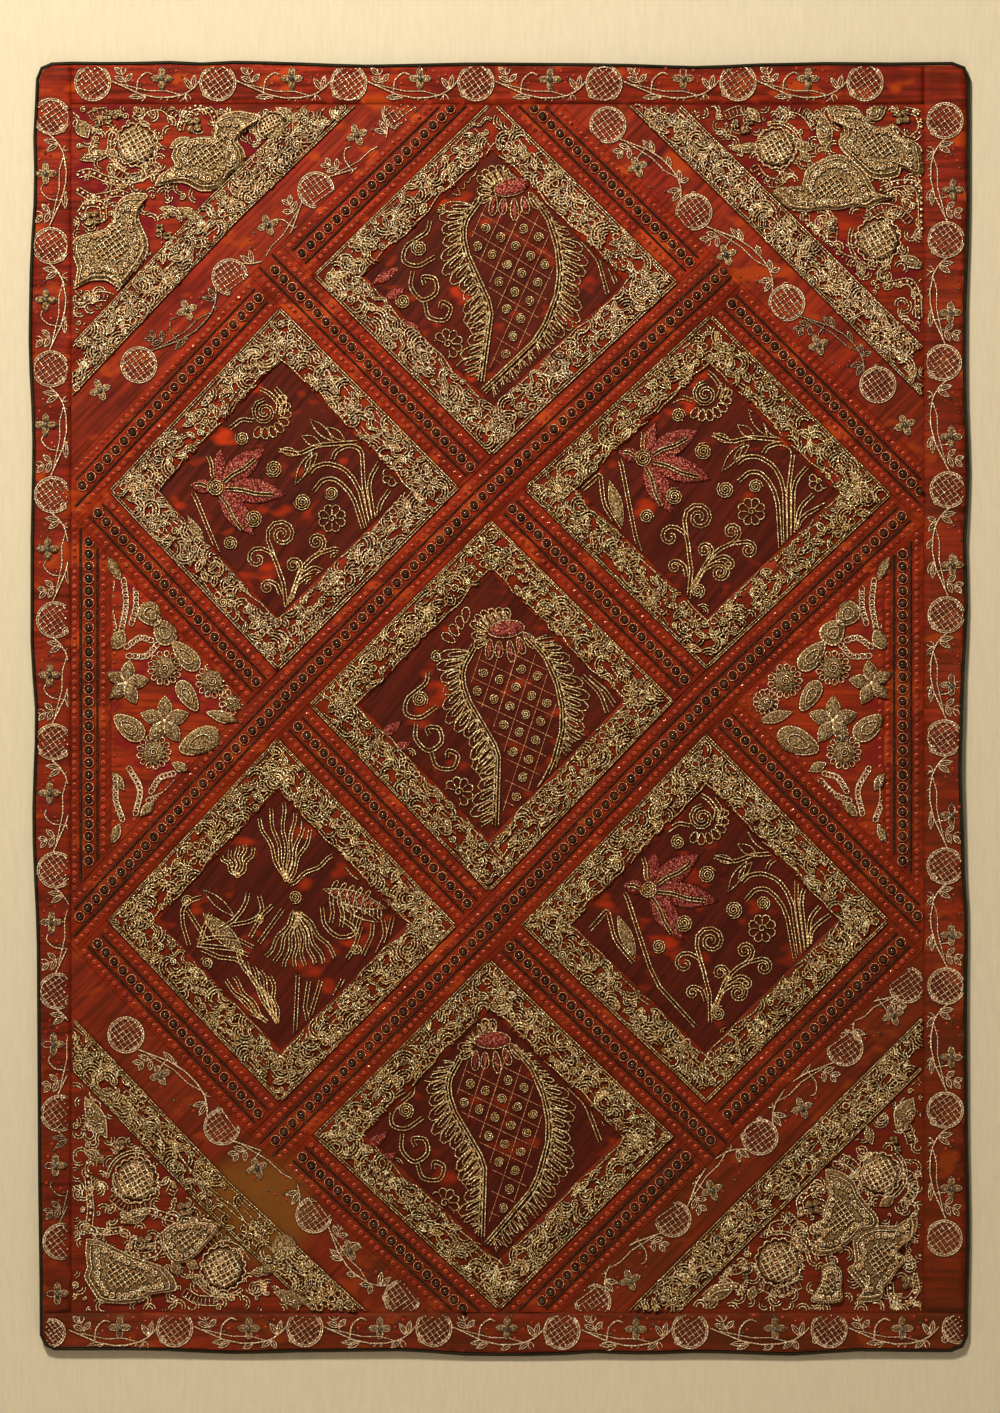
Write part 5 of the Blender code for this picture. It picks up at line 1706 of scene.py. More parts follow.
@dataclass
class StarPanel(Panel):
    """A glittering star with coils round it, a curling tree, arched plumes, a leafy branch and a shell."""

    petals: tuple = ((56, -29, 25), (69, 21, 26), (29, 56, 25), (12, -37, 15), (-26, -7, 15))
    ribs: tuple = ((-1, -32), (44, -19), (54, 19), (17, 48), (-20, -7))

    def pads(self) -> None:
        """The star's petals, and the filled leaf beside it."""
        for x, y, width in self.petals:
            self.pink.add(leaf(self.spot(0, 0), self.spot(x, y), width * UNIT, 9), 2.4 * MM)
        self.pale.add(leaf(self.spot(-34, 22), self.spot(-21, 68), 11 * UNIT), 1.6 * MM)

    def stitches(self) -> None:
        """Midribs, coils, rosette, tree, plumes, branch, shell and side leaves."""
        work, spot = self.work, self.spot
        for x, y in self.ribs:
            length = math.hypot(x, y)
            share = np.linspace(9.5 / length, 1.0, 9)
            waves = 0.8 * np.sin(share * 11)
            path = [spot(x * s - y / length * w, y * s + x / length * w) for s, w in zip(share, waves)]
            work.pair(np.array(path), Look.GOLD, 0.95 * MM, 2.8 * MM, lift=0.3 * MM, tone=0.2)
        self.coils((0, 0, 10), (35, -43, 8.4), (60, -7, 10), (82, 31, 10), (112, 28, 8.4), (31, 38, 10),
                   (3, 58, 8.4),
                   (54, 132, 9), (59, 153, 9))
        rosette(work, spot(108, 53), 14 * UNIT, 8)
        self.tree()
        self.plumes()
        self.shell()
        self.lines(((-8, 78), (-14, 46), (-20, 14), (-24, 1)),
                   ((-24, 71), (-39, 46), (-43, 18), (-51, 23), (-63, 33)),
                   ((-8, 78), (2, 104), (30, 142)))
        work.lay(leaf(spot(-34, 22), spot(-21, 68), 12 * UNIT, 9), Look.GOLD, 0.95 * MM)

    def tree(self) -> None:
        """A trunk of double cord with curled branches."""
        for places, radius, turns, side in (
            (((45, 140), (48, 112), (46, 88), (41, 62)), 15, 1.7, -1),
            (((46, 92), (42, 76), (33, 69)), 11, 1.1, 1),
            (((43, 118), (41, 108), (35, 103)), 6.5, 1.1, 1),
            (((47, 132), (58, 112), (72, 94), (88, 85), (104, 83)), 8.5, 1.3, -1),
            (((86, 87), (94, 80)), 9, 1.3, 1),
            (((62, 106), (68, 96)), 8, 1.3, 1),
            (((50, 130), (60, 112), (72, 105)), 10, 1.6, -1),
            (((66, 104), (80, 98), (88, 102)), 5, 1.0, -1),
        ):
            path = curl([self.spot(*place) for place in places], radius * UNIT, turns, side)
            self.work.pair(path, Look.GOLD, 0.9 * MM, 2.9 * MM, tone=0.2)

    def plumes(self) -> None:
        """Arched double plumes and reeds at the right, and a branch of outlined leaves over them."""
        self.lines(((137, 92), (136, 58), (131, 33), (119, 16), (106, 14), (95, 23)),
                   ((142, 92), (142, 57), (140, 29), (131, 9), (116, -1), (102, -1), (94, 5)),
                   ((146, 88), (145, 35), (148, 10), (149, -8), (138, -15), (125, -12), (120, -5)),
                   ((150, 88), (149, 50), (152, 24), (165, 7)),
                   ((152, 88), (157, 62), (177, 48), (204, 39)),
                   ((154, 90), (170, 68), (197, 50)), ((151, 86), (156, 52), (170, 36)),
                   ((147, -17), (126, -20), (107, -21), (88, -17), (69, -24)))
        work, spot = self.work, self.spot
        for x0, y0, x1, y1, width in ((124, -22, 105, -49, 9), (112, -20, 94, -34, 9),
                                      (88, -16, 70, -25, 8),
                                      (101, -16, 78, 13, 9), (106, -14, 90, 1, 7), (136, -20, 120, -38, 8)):
            work.lay(leaf(spot(x0, y0), spot(x1, y1), width * UNIT, 8), Look.GOLD, 0.95 * MM, lift=0.2 * MM)
        rosette(work, spot(175, 23), 10 * UNIT, 6)

    def shell(self) -> None:
        """A coiled shell with streams above it and loops below, and its tail."""
        spot = self.spot
        self.work.pair(spiral(spot(62, -64), 13 * UNIT, 1.7, 90), Look.GOLD, 1.0 * MM, 2.6 * MM,
                       lift=0.2 * MM)
        for angle in np.linspace(-120, 25, 8):
            turned = angle - self.turn
            foot = spot(62, -64) + 15 * UNIT * heading(math.radians(turned))
            fan(self.work, foot, (turned, turned), 1, 12 * UNIT, 7 * UNIT, inner=False)
        self.lines(((74, -60), (77, -70), (70, -82), (62, -88)), ((79, -58), (84, -72), (77, -86)),
                   ((25, -55), (38, -61), (49, -58)))


@dataclass
class ReedPanel(Panel):
    """Tufts of wavy reeds above and below a coil, with a feathered leaf, fans and leaf outlines."""

    def pads(self) -> None:
        """The filled leaves."""
        self.pale.add(leaf(self.spot(-51, 57), self.spot(-92, 16), 15 * UNIT, 9), 1.6 * MM)
        self.pink.add(leaf(self.spot(28, -8), self.spot(92, 12), 13 * UNIT, 9), 1.6 * MM)

    def stitches(self) -> None:
        """Reeds, coils, fans and leaves."""
        work, spot = self.work, self.spot
        self.coils((0, 0, 8), (-88, 66, 8), (-108, 4, 7), (62, 52, 7), (52, 96, 8), (-36, 22, 6),
                   (14, -98, 6))
        self.reeds((-8, -11), ((-36, -78), (-25, -88), (-12, -94), (0, -90), (10, -82), (19, -72),
                               (42, -43)))
        self.reeds((3, 11), ((-29, 60), (-20, 66), (-10, 70), (0, 70), (9, 69), (19, 67), (29, 66),
                             (41, 60)))
        self.reeds((-16, 129), ((-57, 58), (-50, 66), (-42, 70), (-34, 74), (-24, 78)))
        self.reeds((-26, 128), ((-80, 88), (-70, 84), (-62, 80)))
        self.reeds((-57, -18), ((-74, -42), (-66, -47), (-58, -51), (-50, -52), (-40, -49)))
        self.lines(((0, 138), (2, 108), (3, 78)), ((15, 120), (20, 100), (26, 84)),
                   ((12, 130), (34, 108), (48, 82)),
                   ((44, 20), (58, 30), (63, 40)), ((-108, 12), (-96, 30), (-88, 44)),
                   ((-22, 8), (-34, 20), (-45, 40)), ((-12, 12), (-24, 28), (-36, 46)),
                   ((-106, 48), (-112, 28), (-112, 12), (-103, 3), (-93, 0)),
                   ((-96, 50), (-92, 34), (-84, 16)),
                   ((-98, 44), (-78, 40), (-58, 42), (-42, 50)),
                   ((-98, 48), (-78, 50), (-62, 52), (-46, 58)),
                   ((-94, 52), (-76, 60), (-60, 62), (-52, 66)),
                   ((-80, 34), (-62, 24), (-50, 8), (-47, -4)),
                   ((-36, -2), (-33, 14), (-44, 24), (-64, 28)),
                   ((27, 10), (30, 28), (44, 40), (60, 36), (66, 18)),
                   ((36, 2), (38, 16), (36, 26)), ((44, 4), (48, 18), (46, 30)),
                   ((52, 6), (58, 16), (56, 26)),
                   ((78, 26), (76, 42), (68, 58)), ((88, 22), (90, 38), (82, 56)),
                   ((98, 20), (92, 44), (84, 66)),
                   ((66, 30), (60, 50), (52, 62)), ((18, 138), (10, 110), (14, 84)))
        for x0, y0, x1, y1, width in ((-51, 57, -92, 16, 17), (28, -8, 92, 12, 15), (-60, 20, -92, -8, 9),
                                      (50, -30, 78, -14, 9), (44, 6, 84, 26, 9)):
            work.lay(leaf(spot(x0, y0), spot(x1, y1), width * UNIT, 10), Look.GOLD, 0.95 * MM,
                     lift=0.2 * MM)
        for k in range(7):
            share = (k + 1) / 8
            x, y = 28 + 64 * share, -8 + 20 * share
            self.loop(x, y, x + 7, y - 11, 4, False)
            self.loop(x, y, x + 1, y + 13, 4, False)
            x, y = -51 - 41 * share, 57 - 41 * share
            self.loop(x, y, x - 1, y + 7, 3, False)

    def reeds(self, foot: tuple, tips: Sequence[tuple]) -> None:
        """Wavy double lines from a foot to their tips."""
        for k, (x, y) in enumerate(tips):
            dx, dy = x - foot[0], y - foot[1]
            length = math.hypot(dx, dy)
            share = np.linspace(0.06, 1, 12)
            waves = 1.5 * np.sin(share * 13 + k)
            path = [self.spot(foot[0] + dx * s - dy / length * w, foot[1] + dy * s + dx / length * w)
                    for s, w in zip(share, waves)]
            self.work.pair(np.array(path), Look.GOLD, 0.85 * MM, 2.7 * MM, lift=0.2 * MM, tone=0.2)


# The border and the strips across the corners, with vines drawn over a span of so many units
VINE_SPAN = 126

@dataclass
class VineWork:
    """Roundels in a row, with a vine, a four-petalled flower and sprigs between each two."""

    name: str
    surface: Height
    outline: np.ndarray
    roundels: Sequence[tuple]
    flowers: Sequence[tuple]
    side: int = 1
    turn: float = 0.0

    def make(self, shop: Workshop) -> None:
        """Works the whole strip."""
        self.work = Needlework(self.name, self.surface, self.outline, 0.3 * MM)
        flowers = all_at(self.flowers)
        self.petals = Pads(self.name + "_petals", Look.PADDED, float(np.median(self.surface(flowers))))
        middles = [at(row[0], row[1]) for row in self.roundels]
        for row, middle in zip(self.roundels, middles):
            self.roundel(middle, (row[2] if len(row) > 2 else 18) * UNIT)
        for place in flowers:
            self.flower(place)
            near = sorted(middles, key=lambda m, p=place: np.linalg.norm(m - p))[:2]
            if len(near) == 2 and np.linalg.norm(near[0] - near[1]) < 175 * UNIT:
                first, second = sorted(near,
                                       key=lambda m: (m[0] - m[1]) if self.side > 0 else (m[0] + m[1]))
                self.vine(first, second, place)
        self.petals.make(shop)
        shop.stitch(self.work)

    def roundel(self, middle: np.ndarray, radius: float) -> None:
        """A ring of twisted cord round a small net with a knot at each crossing."""
        work = self.work
        work.lay(arc(middle, radius, 0, 360, 29), Look.SILVER, 1.0 * MM, tone=0.3)
        work.lay(arc(middle, radius - 1.6 * MM, 6, 366, 27), Look.SILVER, 0.9 * MM, tone=0.6)
        pitch, turn = radius * 2 / 7.4, 0.62
        for path in round_net(middle, radius, pitch, turn, 1.2 * MM, 4):
            work.lay(path, Look.SILVER, 0.66 * MM, tone=0.7)
        way = heading(turn)
        knots = [middle + left_of(way) * k * pitch + way * j * pitch for k in range(-3,
                                                                                    4) for j in range(-3, 4)
                 if math.hypot(k, j) * pitch < radius * 0.9]
        work.dot(np.array(knots), Look.SILVER, 1.15 * MM, sit=0.7, flat=True)

    def flower(self, middle: np.ndarray) -> None:
        """Four padded petals round a blue-grey bead, with a dark bead at each tip."""
        for angle in (self.turn, self.turn + 90, self.turn + 180, self.turn + 270):
            way = heading(math.radians(angle))
            outline = oval(middle + way * 5.8 * UNIT, 9.2 * UNIT, 6.2 * UNIT, angle, 12)
            self.petals.add(outline, 1.9 * MM)
            self.work.lay(outline, Look.SILVER, 0.6 * MM, lift=0.3 * MM, tone=0.0)
            self.work.dot(middle + way * 11.0 * UNIT, Look.BLUE_BEAD, 1.2 * MM)
        self.work.dot(middle, Look.BLUE_BEAD, 2.3 * MM, sit=1.3)

    def vine(self, first: np.ndarray, second: np.ndarray, flower: np.ndarray) -> None:
        """The vine from one roundel to the next, bowed away from the flower."""
        span = second - first
        length = np.linalg.norm(span)
        way = span / length
        up = left_of(way)
        if (flower - first) @ up < 0 and abs((flower - first) @ up) > 2.5 * UNIT:
            up = -up
        scale = length / VINE_SPAN

        def spot(along: float, aside: float) -> np.ndarray:
            """A place along the span and away from the flower."""
            return first + way * along * scale + up * aside * UNIT

        def line(*places: tuple[float, float]) -> Path:
            """A smooth line through places given as for spot."""
            return smooth_path([spot(*place) for place in places], 2.8 * MM)

        work = self.work
        stem = line((18, 2), (32, -5), (50, -12), (70, -15), (90, -12), (102, -5), (108, 2))
        work.lay(stem, Look.SILVER, 1.15 * MM, tone=0.0)
        work.lay(line((26, -1), (40, -4), (56, -8), (74, -8), (88, -12)), Look.SILVER, 0.85 * MM, tone=0.1)
        work.lay(line((44, -9), (46, 3), (54, 10), (60, 8)), Look.SILVER, 0.95 * MM, tone=0.2)
        work.lay(line((36, -6), (33, 2), (28, 12)), Look.SILVER, 0.6 * MM, tone=0.4)
        for foot, tips in (((33, 1), ((22, 6), (40, 9))), ((30, 8), ((22, 15), (32, 17))),
                           ((54, -13), ((42, -19), (36, -14))), ((76, -15), ((66, -20),)),
                           ((94, -11), ((84, -19), (98, -20))), ((100, -7), ((92, 5), (103, 8)))):
            for tip in tips:
                work.lay(leaf(spot(*foot), spot(*tip), 5.0 * UNIT, 5), Look.SILVER, 0.78 * MM, tone=0.0)
                work.lay(np.array([spot(*foot), spot(*tip)]), Look.SILVER, 0.6 * MM, lift=0.3 * MM,
                         tone=0.0)
        work.lay(spiral(spot(114, -11), 4.4 * UNIT, 1.5, 60, 0.2, 9), Look.SILVER, 0.85 * MM, tone=0.1)
        dots = [spot(*place) for place in ((52, 0), (58, 14), (84, 12), (88, 1), (80, -8), (60, -8),
                                           (40, 2), (96, 8))]
        work.dot(np.array(dots), Look.SEQUIN, 1.5 * MM, sit=0.3, flat=True)
        work.dot(np.array([spot(48, -3), spot(90, 6), spot(76, 14)]), Look.BLUE_BEAD, 1.2 * MM)


@dataclass
class BorderStrip:
    """One strip of the border on the lifting rim, gathered in fine creases."""

    node: str
    roundels: Sequence[tuple]
    flowers: Sequence[tuple]
    side: int = 1

    def make(self, shop: Workshop) -> None:
        """Makes the silk on its rim, and the vine on it."""
        piece = RimCloth(self.node, Look.BORDER, 0.35 * MM, 0.006).make(shop)
        shape = node_shape(self.node)
        places = flat_places(shape.verts)
        shape.free()
        low, high = places.min(axis=0) + 1.5 * MM, places.max(axis=0) - 1.5 * MM
        box = np.array([low, (high[0], low[1]), high, (low[0], high[1])])
        VineWork(self.node, Relief([piece], PATCH_BACK + 1.4 * MM), box, self.roundels, self.flowers,
                 self.side).make(shop)


@dataclass
class RimCloth:
    """Cloth that follows its solid's own front, cut fine and rippled."""

    node: str
    look: Look
    height: float
    cell: float
    corded: bool = False

    def make(self, shop: Workshop) -> bpy.types.Object:
        """Cuts the solid's surface into cells and ripples its front."""
        shape = node_shape(self.node)
        bmesh.ops.dissolve_limit(shape, angle_limit=math.radians(0.5), verts=shape.verts[:],
                                 edges=shape.edges[:])
        bmesh.ops.triangulate(shape, faces=[f for f in shape.faces if len(f.verts) > 4])
        shape.normal_update()
        cut_grid(shape, self.cell)
        shape.normal_update()
        fronts = [v for v in shape.verts if all(f.normal.y < FORWARD for f in v.link_faces)]
        if fronts:
            levels = ripple(flat_places(fronts), 0.034, self.height, len(self.node))
            for vert, level in zip(fronts, levels):
                vert.co.y -= level
        area = sum(f.calc_area() for f in shape.faces if f.normal.y > -FORWARD)
        box = None if self.corded else np.ptp(flat_places(shape.verts), axis=0)
        return dressed(self.node, self.look, shape, shop, area, box)


# The four corners and the two half diamonds, placed in the photograph's units

@dataclass(frozen=True)
class CornerPlan:
    """What one corner is worked with.

    Args:
        wings: Outlines of the large padded forms.
        rounds: Middles and radii of the netted rounds.
        buds: Foot, tip and width of each small padded leaf.
        balls: Middles of the clusters of four small pads, each with its reach.
        loops: Lines that looped braid follows.
        scrolls: Lines of beaded double cord.
    """

    wings: tuple
    rounds: tuple
    buds: tuple
    balls: tuple
    loops: tuple
    scrolls: tuple


CORNER_PLANS = {
    "top_left": CornerPlan(
        wings=(
            ((155, 186), (161, 175), (175, 166), (172, 156), (179, 145), (198, 138), (216, 136), (218, 120),
             (234, 112), (253, 114), (260, 118), (244, 129), (237, 140), (244, 152), (244, 166), (230, 175),
             (221, 188), (202, 191), (188, 184), (175, 182)),
            ((74, 289), (78, 271), (76, 262), (72, 250), (76, 239), (88, 234), (104, 230), (115, 218),
             (117, 205),
             (129, 195), (147, 195), (140, 207), (139, 221), (147, 239), (147, 253), (138, 267), (122, 287),
             (106, 280), (88, 281)),
        ),
        rounds=((136, 145, 20), (273, 127, 14)),
        buds=((88, 138, 78, 120, 14), (170, 148, 190, 138, 10), (112, 152, 80, 160, 10),
              (176, 208, 206, 222, 12),
              (160, 208, 182, 214, 9), (300, 124, 276, 108, 12)),
        balls=((194, 125, 9), (92, 218, 9), (108, 120, 5), (118, 114, 5), (98, 124, 4), (160, 228, 5),
               (168, 236, 5)),
        loops=(((136, 120), (146, 108), (162, 106), (176, 116)), ((90, 117), (98, 113), (107, 112)),
               ((112, 168), (126, 178), (142, 176), (154, 166)), ((85, 300), (104, 296), (122, 304))),
        scrolls=(((180, 130), (186, 112), (198, 106), (212, 112), (217, 126)),
                 ((78, 175), (90, 172), (106, 179), (127, 182), (152, 172)),
                 ((78, 190), (94, 198), (117, 193), (128, 196)),
                 ((80, 214), (88, 204), (102, 206), (104, 220)), ((72, 292), (80, 300), (90, 296))),
    ),
    "top_right": CornerPlan(
        wings=(
            ((827, 108), (832, 105), (844, 106), (855, 108), (863, 115), (866, 121), (874, 127), (886, 128),
             (893, 125), (900, 137), (914, 142), (922, 152), (923, 176), (902, 167), (898, 176), (881, 179),
             (869, 176), (860, 167), (852, 159), (842, 150), (839, 141), (845, 134), (841, 121),
             (832, 121)),
            ((770, 193), (782, 188), (800, 187), (804, 179), (807, 170), (818, 162), (832, 156), (843, 156),
             (855, 163), (863, 170), (869, 180), (874, 190), (883, 197), (895, 197), (879, 201), (869, 207),
             (855, 205), (839, 209), (824, 208), (807, 211), (787, 209), (779, 202)),
        ),
        rounds=((776, 148, 19), (878, 240, 21)),
        buds=((827, 152, 822, 113, 15), (764, 146, 732, 150, 9), (794, 143, 812, 150, 10),
              (800, 152, 811, 162, 8),
              (900, 256, 924, 268, 11), (822, 222, 838, 228, 9), (866, 120, 886, 106, 14),
              (760, 122, 748, 108, 9),
              (858, 262, 864, 276, 9)),
        balls=((902, 117, 9), (735, 124, 5), (745, 130, 5), (750, 122, 4), (880, 276, 6), (846, 144, 6)),
        loops=(((775, 120), (786, 108), (804, 112), (816, 128)), ((726, 116), (737, 111), (748, 110)),
               ((754, 166), (762, 178), (776, 183), (790, 170)),
               ((833, 228), (832, 246), (842, 258), (856, 262)),
               ((868, 216), (882, 208), (900, 212), (910, 222))),
        scrolls=(((881, 190), (895, 184), (914, 184), (921, 198), (921, 219), (923, 238)),
                 ((893, 128), (908, 140), (921, 130), (918, 114), (904, 110)),
                 ((894, 284), (910, 282), (918, 298), (919, 318)), ((806, 214), (808, 226), (822, 232))),
    ),
    "bottom_left": CornerPlan(
        wings=(
            ((87, 1239), (100, 1241), (116, 1249), (133, 1257), (150, 1262), (163, 1267), (173, 1277),
             (176, 1289),
             (163, 1292), (150, 1294), (141, 1301), (120, 1303), (100, 1300), (92, 1289), (85, 1277),
             (88, 1266),
             (86, 1252)),
            ((160, 1234), (173, 1224), (186, 1221), (199, 1219), (213, 1221), (226, 1221), (216, 1231),
             (206, 1243),
             (199, 1252), (186, 1261), (173, 1262), (166, 1252), (161, 1244)),
        ),
        rounds=((136, 1180, 21), (223, 1268, 21), (284, 1248, 15)),
        buds=((107, 1138, 85, 1097, 17), (104, 1160, 84, 1150, 10), (198, 1268, 186, 1260, 9),
              (252, 1272, 282, 1266, 11), (274, 1292, 312, 1303, 15), (172, 1262, 180, 1274, 10),
              (122, 1222, 150, 1210, 13), (204, 1282, 190, 1276, 9)),
        balls=((185, 1209, 9), (145, 1243, 9), (120, 1145, 6), (128, 1140, 4)),
        loops=(((153, 1155), (172, 1160), (178, 1176), (170, 1194)),
               ((184, 1292), (198, 1300), (218, 1301)),
               ((112, 1196), (128, 1208), (150, 1204)),
               ((206, 1246), (222, 1236), (242, 1242), (254, 1258))),
        scrolls=(((88, 1176), (90, 1192), (91, 1210), (90, 1228), (104, 1232), (122, 1230)),
                 ((122, 1222), (134, 1213), (150, 1211), (164, 1216), (184, 1221), (206, 1218), (209, 1204),
                  (196, 1196)),
                 ((134, 1236), (132, 1250), (144, 1256), (158, 1250), (158, 1236)),
                 ((232, 1202), (246, 1218), (270, 1222), (284, 1210))),
    ),
    "bottom_right": CornerPlan(
        wings=(
            ((853, 1240), (861, 1231), (876, 1226), (895, 1226), (908, 1219), (914, 1212), (917, 1222),
             (914, 1234),
             (905, 1241), (897, 1251), (905, 1259), (897, 1269), (891, 1279), (883, 1288), (879, 1299),
             (857, 1301),
             (863, 1290), (855, 1279), (848, 1269), (855, 1263), (855, 1251)),
            ((826, 1169), (841, 1172), (853, 1181), (858, 1193), (866, 1204), (876, 1215), (877, 1225),
             (861, 1229),
             (853, 1238), (841, 1248), (829, 1254), (814, 1254), (813, 1244), (822, 1236), (811, 1233),
             (811, 1226),
             (822, 1219), (825, 1207), (829, 1196), (826, 1184)),
            ((822, 1266), (832, 1263), (841, 1272), (841, 1288), (840, 1301), (812, 1301), (817, 1291),
             (822, 1279)),
        ),
        rounds=((879, 1174, 20), (779, 1262, 22)),
        buds=((896, 1128, 913, 1098, 20), (872, 1144, 866, 1124, 9), (794, 1242, 806, 1250, 9),
              (800, 1236, 790, 1248, 8), (703, 1300, 736, 1284, 14), (754, 1286, 750, 1300, 9),
              (880, 1206, 894, 1196, 9)),
        balls=((813, 1207, 9), (908, 1282, 8), (894, 1140, 5), (898, 1149, 4), (744, 1266, 5),
               (745, 1276, 4)),
        loops=(((895, 1174), (910, 1176), (913, 1192), (902, 1206)), ((762, 1237), (768, 1220), (786, 1216),
               (800, 1230)), ((906, 1126), (910, 1136), (912, 1144)),
               ((760, 1284), (780, 1292), (800, 1284)),
               ((840, 1158), (852, 1164), (860, 1176)), ((722, 1266), (736, 1270), (748, 1262))),
        scrolls=(((802, 1214), (800, 1200), (812, 1190), (826, 1190)),
                 ((890, 1282), (892, 1296), (906, 1301), (916, 1290), (914, 1274)),
                 ((704, 1298), (716, 1288), (736, 1286), (742, 1294))),
    ),
}


@dataclass
class CornerPanel(Panel):
    """A corner worked with large padded wings, netted rounds, buds, balls, loops and scrolls."""

    plan: CornerPlan | None = None
    gold: Look = Look.PALE_GOLD

    def pads(self) -> None:
        """The padded forms."""
        for outline in self.plan.wings:
            self.pale.add(smooth_path(all_at([*outline, outline[0]]), 5 * MM), 5.6 * MM)
        for x, y, radius in self.plan.rounds:
            self.pale.add(oval(at(x, y), 1.9 * radius * UNIT, 1.9 * radius * UNIT, 0, 18), 4.2 * MM)
        for x0, y0, x1, y1, width in self.plan.buds:
            self.pale.add(leaf(at(x0, y0), at(x1, y1), width * UNIT, 7), 3.6 * MM)
        for x, y, reach in self.plan.balls:
            for turn in (0.6, 2.2, 3.8, 5.3):
                place = at(x + 0.55 * reach * math.cos(turn), y + 0.55 * reach * math.sin(turn))
                self.pale.add(oval(place, reach * 0.95 * UNIT, reach * 0.85 * UNIT, 30, 9), 3.4 * MM)

    def stitches(self) -> None:
        """Outlines, nets, knots, loops and beaded scrolls."""
        work, gold = self.work, self.gold
        for outline in self.plan.wings:
            edge = smooth_path(all_at([*outline, outline[0]]), 3 * MM)
            middle = edge.mean(axis=0)
            work.lay(edge, gold, 1.25 * MM, lift=0.5 * MM, tone=0.0)
            work.lay(middle + (edge - middle) * 0.88, gold, 1.05 * MM, lift=0.3 * MM, tone=0.2)
            netting(work, middle + (edge - middle) * 0.46, 4.3 * MM, gold)
            for place in (middle + (edge - middle) * 0.70)[::3]:
                radius, turn = self.rng.uniform(3.6, 4.8) * MM, self.rng.uniform(0, 360)
                coil(work, place, radius, gold, cord=1.1 * MM, turn=turn)
        for x, y, radius in self.plan.rounds:
            self.netted(at(x, y), radius * UNIT)
        for x0, y0, x1, y1, width in self.plan.buds:
            work.lay(leaf(at(x0, y0), at(x1, y1), width * UNIT, 9), gold, 1.1 * MM, lift=0.5 * MM, tone=0.0)
        for places in self.plan.loops:
            self.braid(smooth_path(all_at(places), 4.4 * MM), 9 * UNIT)
        for places in self.plan.scrolls:
            path = smooth_path(all_at(places), 3 * MM)
            work.pair(path, gold, 1.0 * MM, 5.6 * MM, tone=0.2)
            work.dot(path[::2], gold, 1.7 * MM, sit=0.7)
        self.scatter(9.4 * MM)

    def scatter(self, pitch: float) -> None:
        """Small coils and double curved stitches on the cloth between the wings, at random."""
        work, gold = self.work, self.gold
        low, high = work.outline.min(axis=0), work.outline.max(axis=0)
        forms = [all_at(outline) for outline in self.plan.wings]
        count = int(np.prod(high - low) / pitch ** 2)
        for centre in low + self.rng.random((count, 2)) * (high - low):
            if any(inside(centre[None, :], form)[0] for form in forms):
                continue
            turn, span = self.rng.uniform(0, 360), self.rng.uniform(110, 230)
            if self.rng.random() < 0.3:
                coil(work, centre, self.rng.uniform(2.8, 4.6) * MM, gold, cord=0.9 * MM, turn=turn)
            else:
                stitch = arc(centre, self.rng.uniform(3.2, 6.0) * MM, turn, turn + span, 7)
                work.pair(stitch, gold, 0.9 * MM, 2.6 * MM, tone=self.rng.uniform(0, 0.6))

    def netted(self, middle: np.ndarray, radius: float) -> None:
        """A net over a round pad, a ring of small loops round it and two outer arcs."""
        work, gold = self.work, self.gold
        for path in round_net(middle, radius * 0.86, radius * 0.24, 0.5, 0.0, 8):
            work.lay(path, gold, 1.0 * MM, lift=0.5 * MM, tone=0.1)
        angles = np.linspace(0, TAU, 97)
        reach = radius * (1.0 + 0.11 * np.abs(np.sin(angles * 8)))
        work.lay(middle + np.stack([reach * np.cos(angles), reach * np.sin(angles)], axis=1), gold,
                 1.15 * MM,
                 lift=0.4 * MM, tone=0.0)
        start = self.rng.uniform(0, 360)
        for k in (1.28, 1.42):
            work.lay(arc(middle, radius * k, start, start + 110, 14), gold, 0.95 * MM, tone=0.3)

    def braid(self, path: Path, width: float) -> None:
        """A narrow band of loops between two edge cords."""
        work, gold = self.work, self.gold
        work.pair(path, gold, 0.95 * MM, width, tone=0.2)
        for before, after in zip(beside(path, width / 2 - 1.4 * MM), beside(path, -width / 2 + 1.4 * MM)):
            work.lay(np.stack([before, (before + after) / 2, after]), gold, 0.85 * MM, lift=0.7 * MM,
                     tone=0.5)


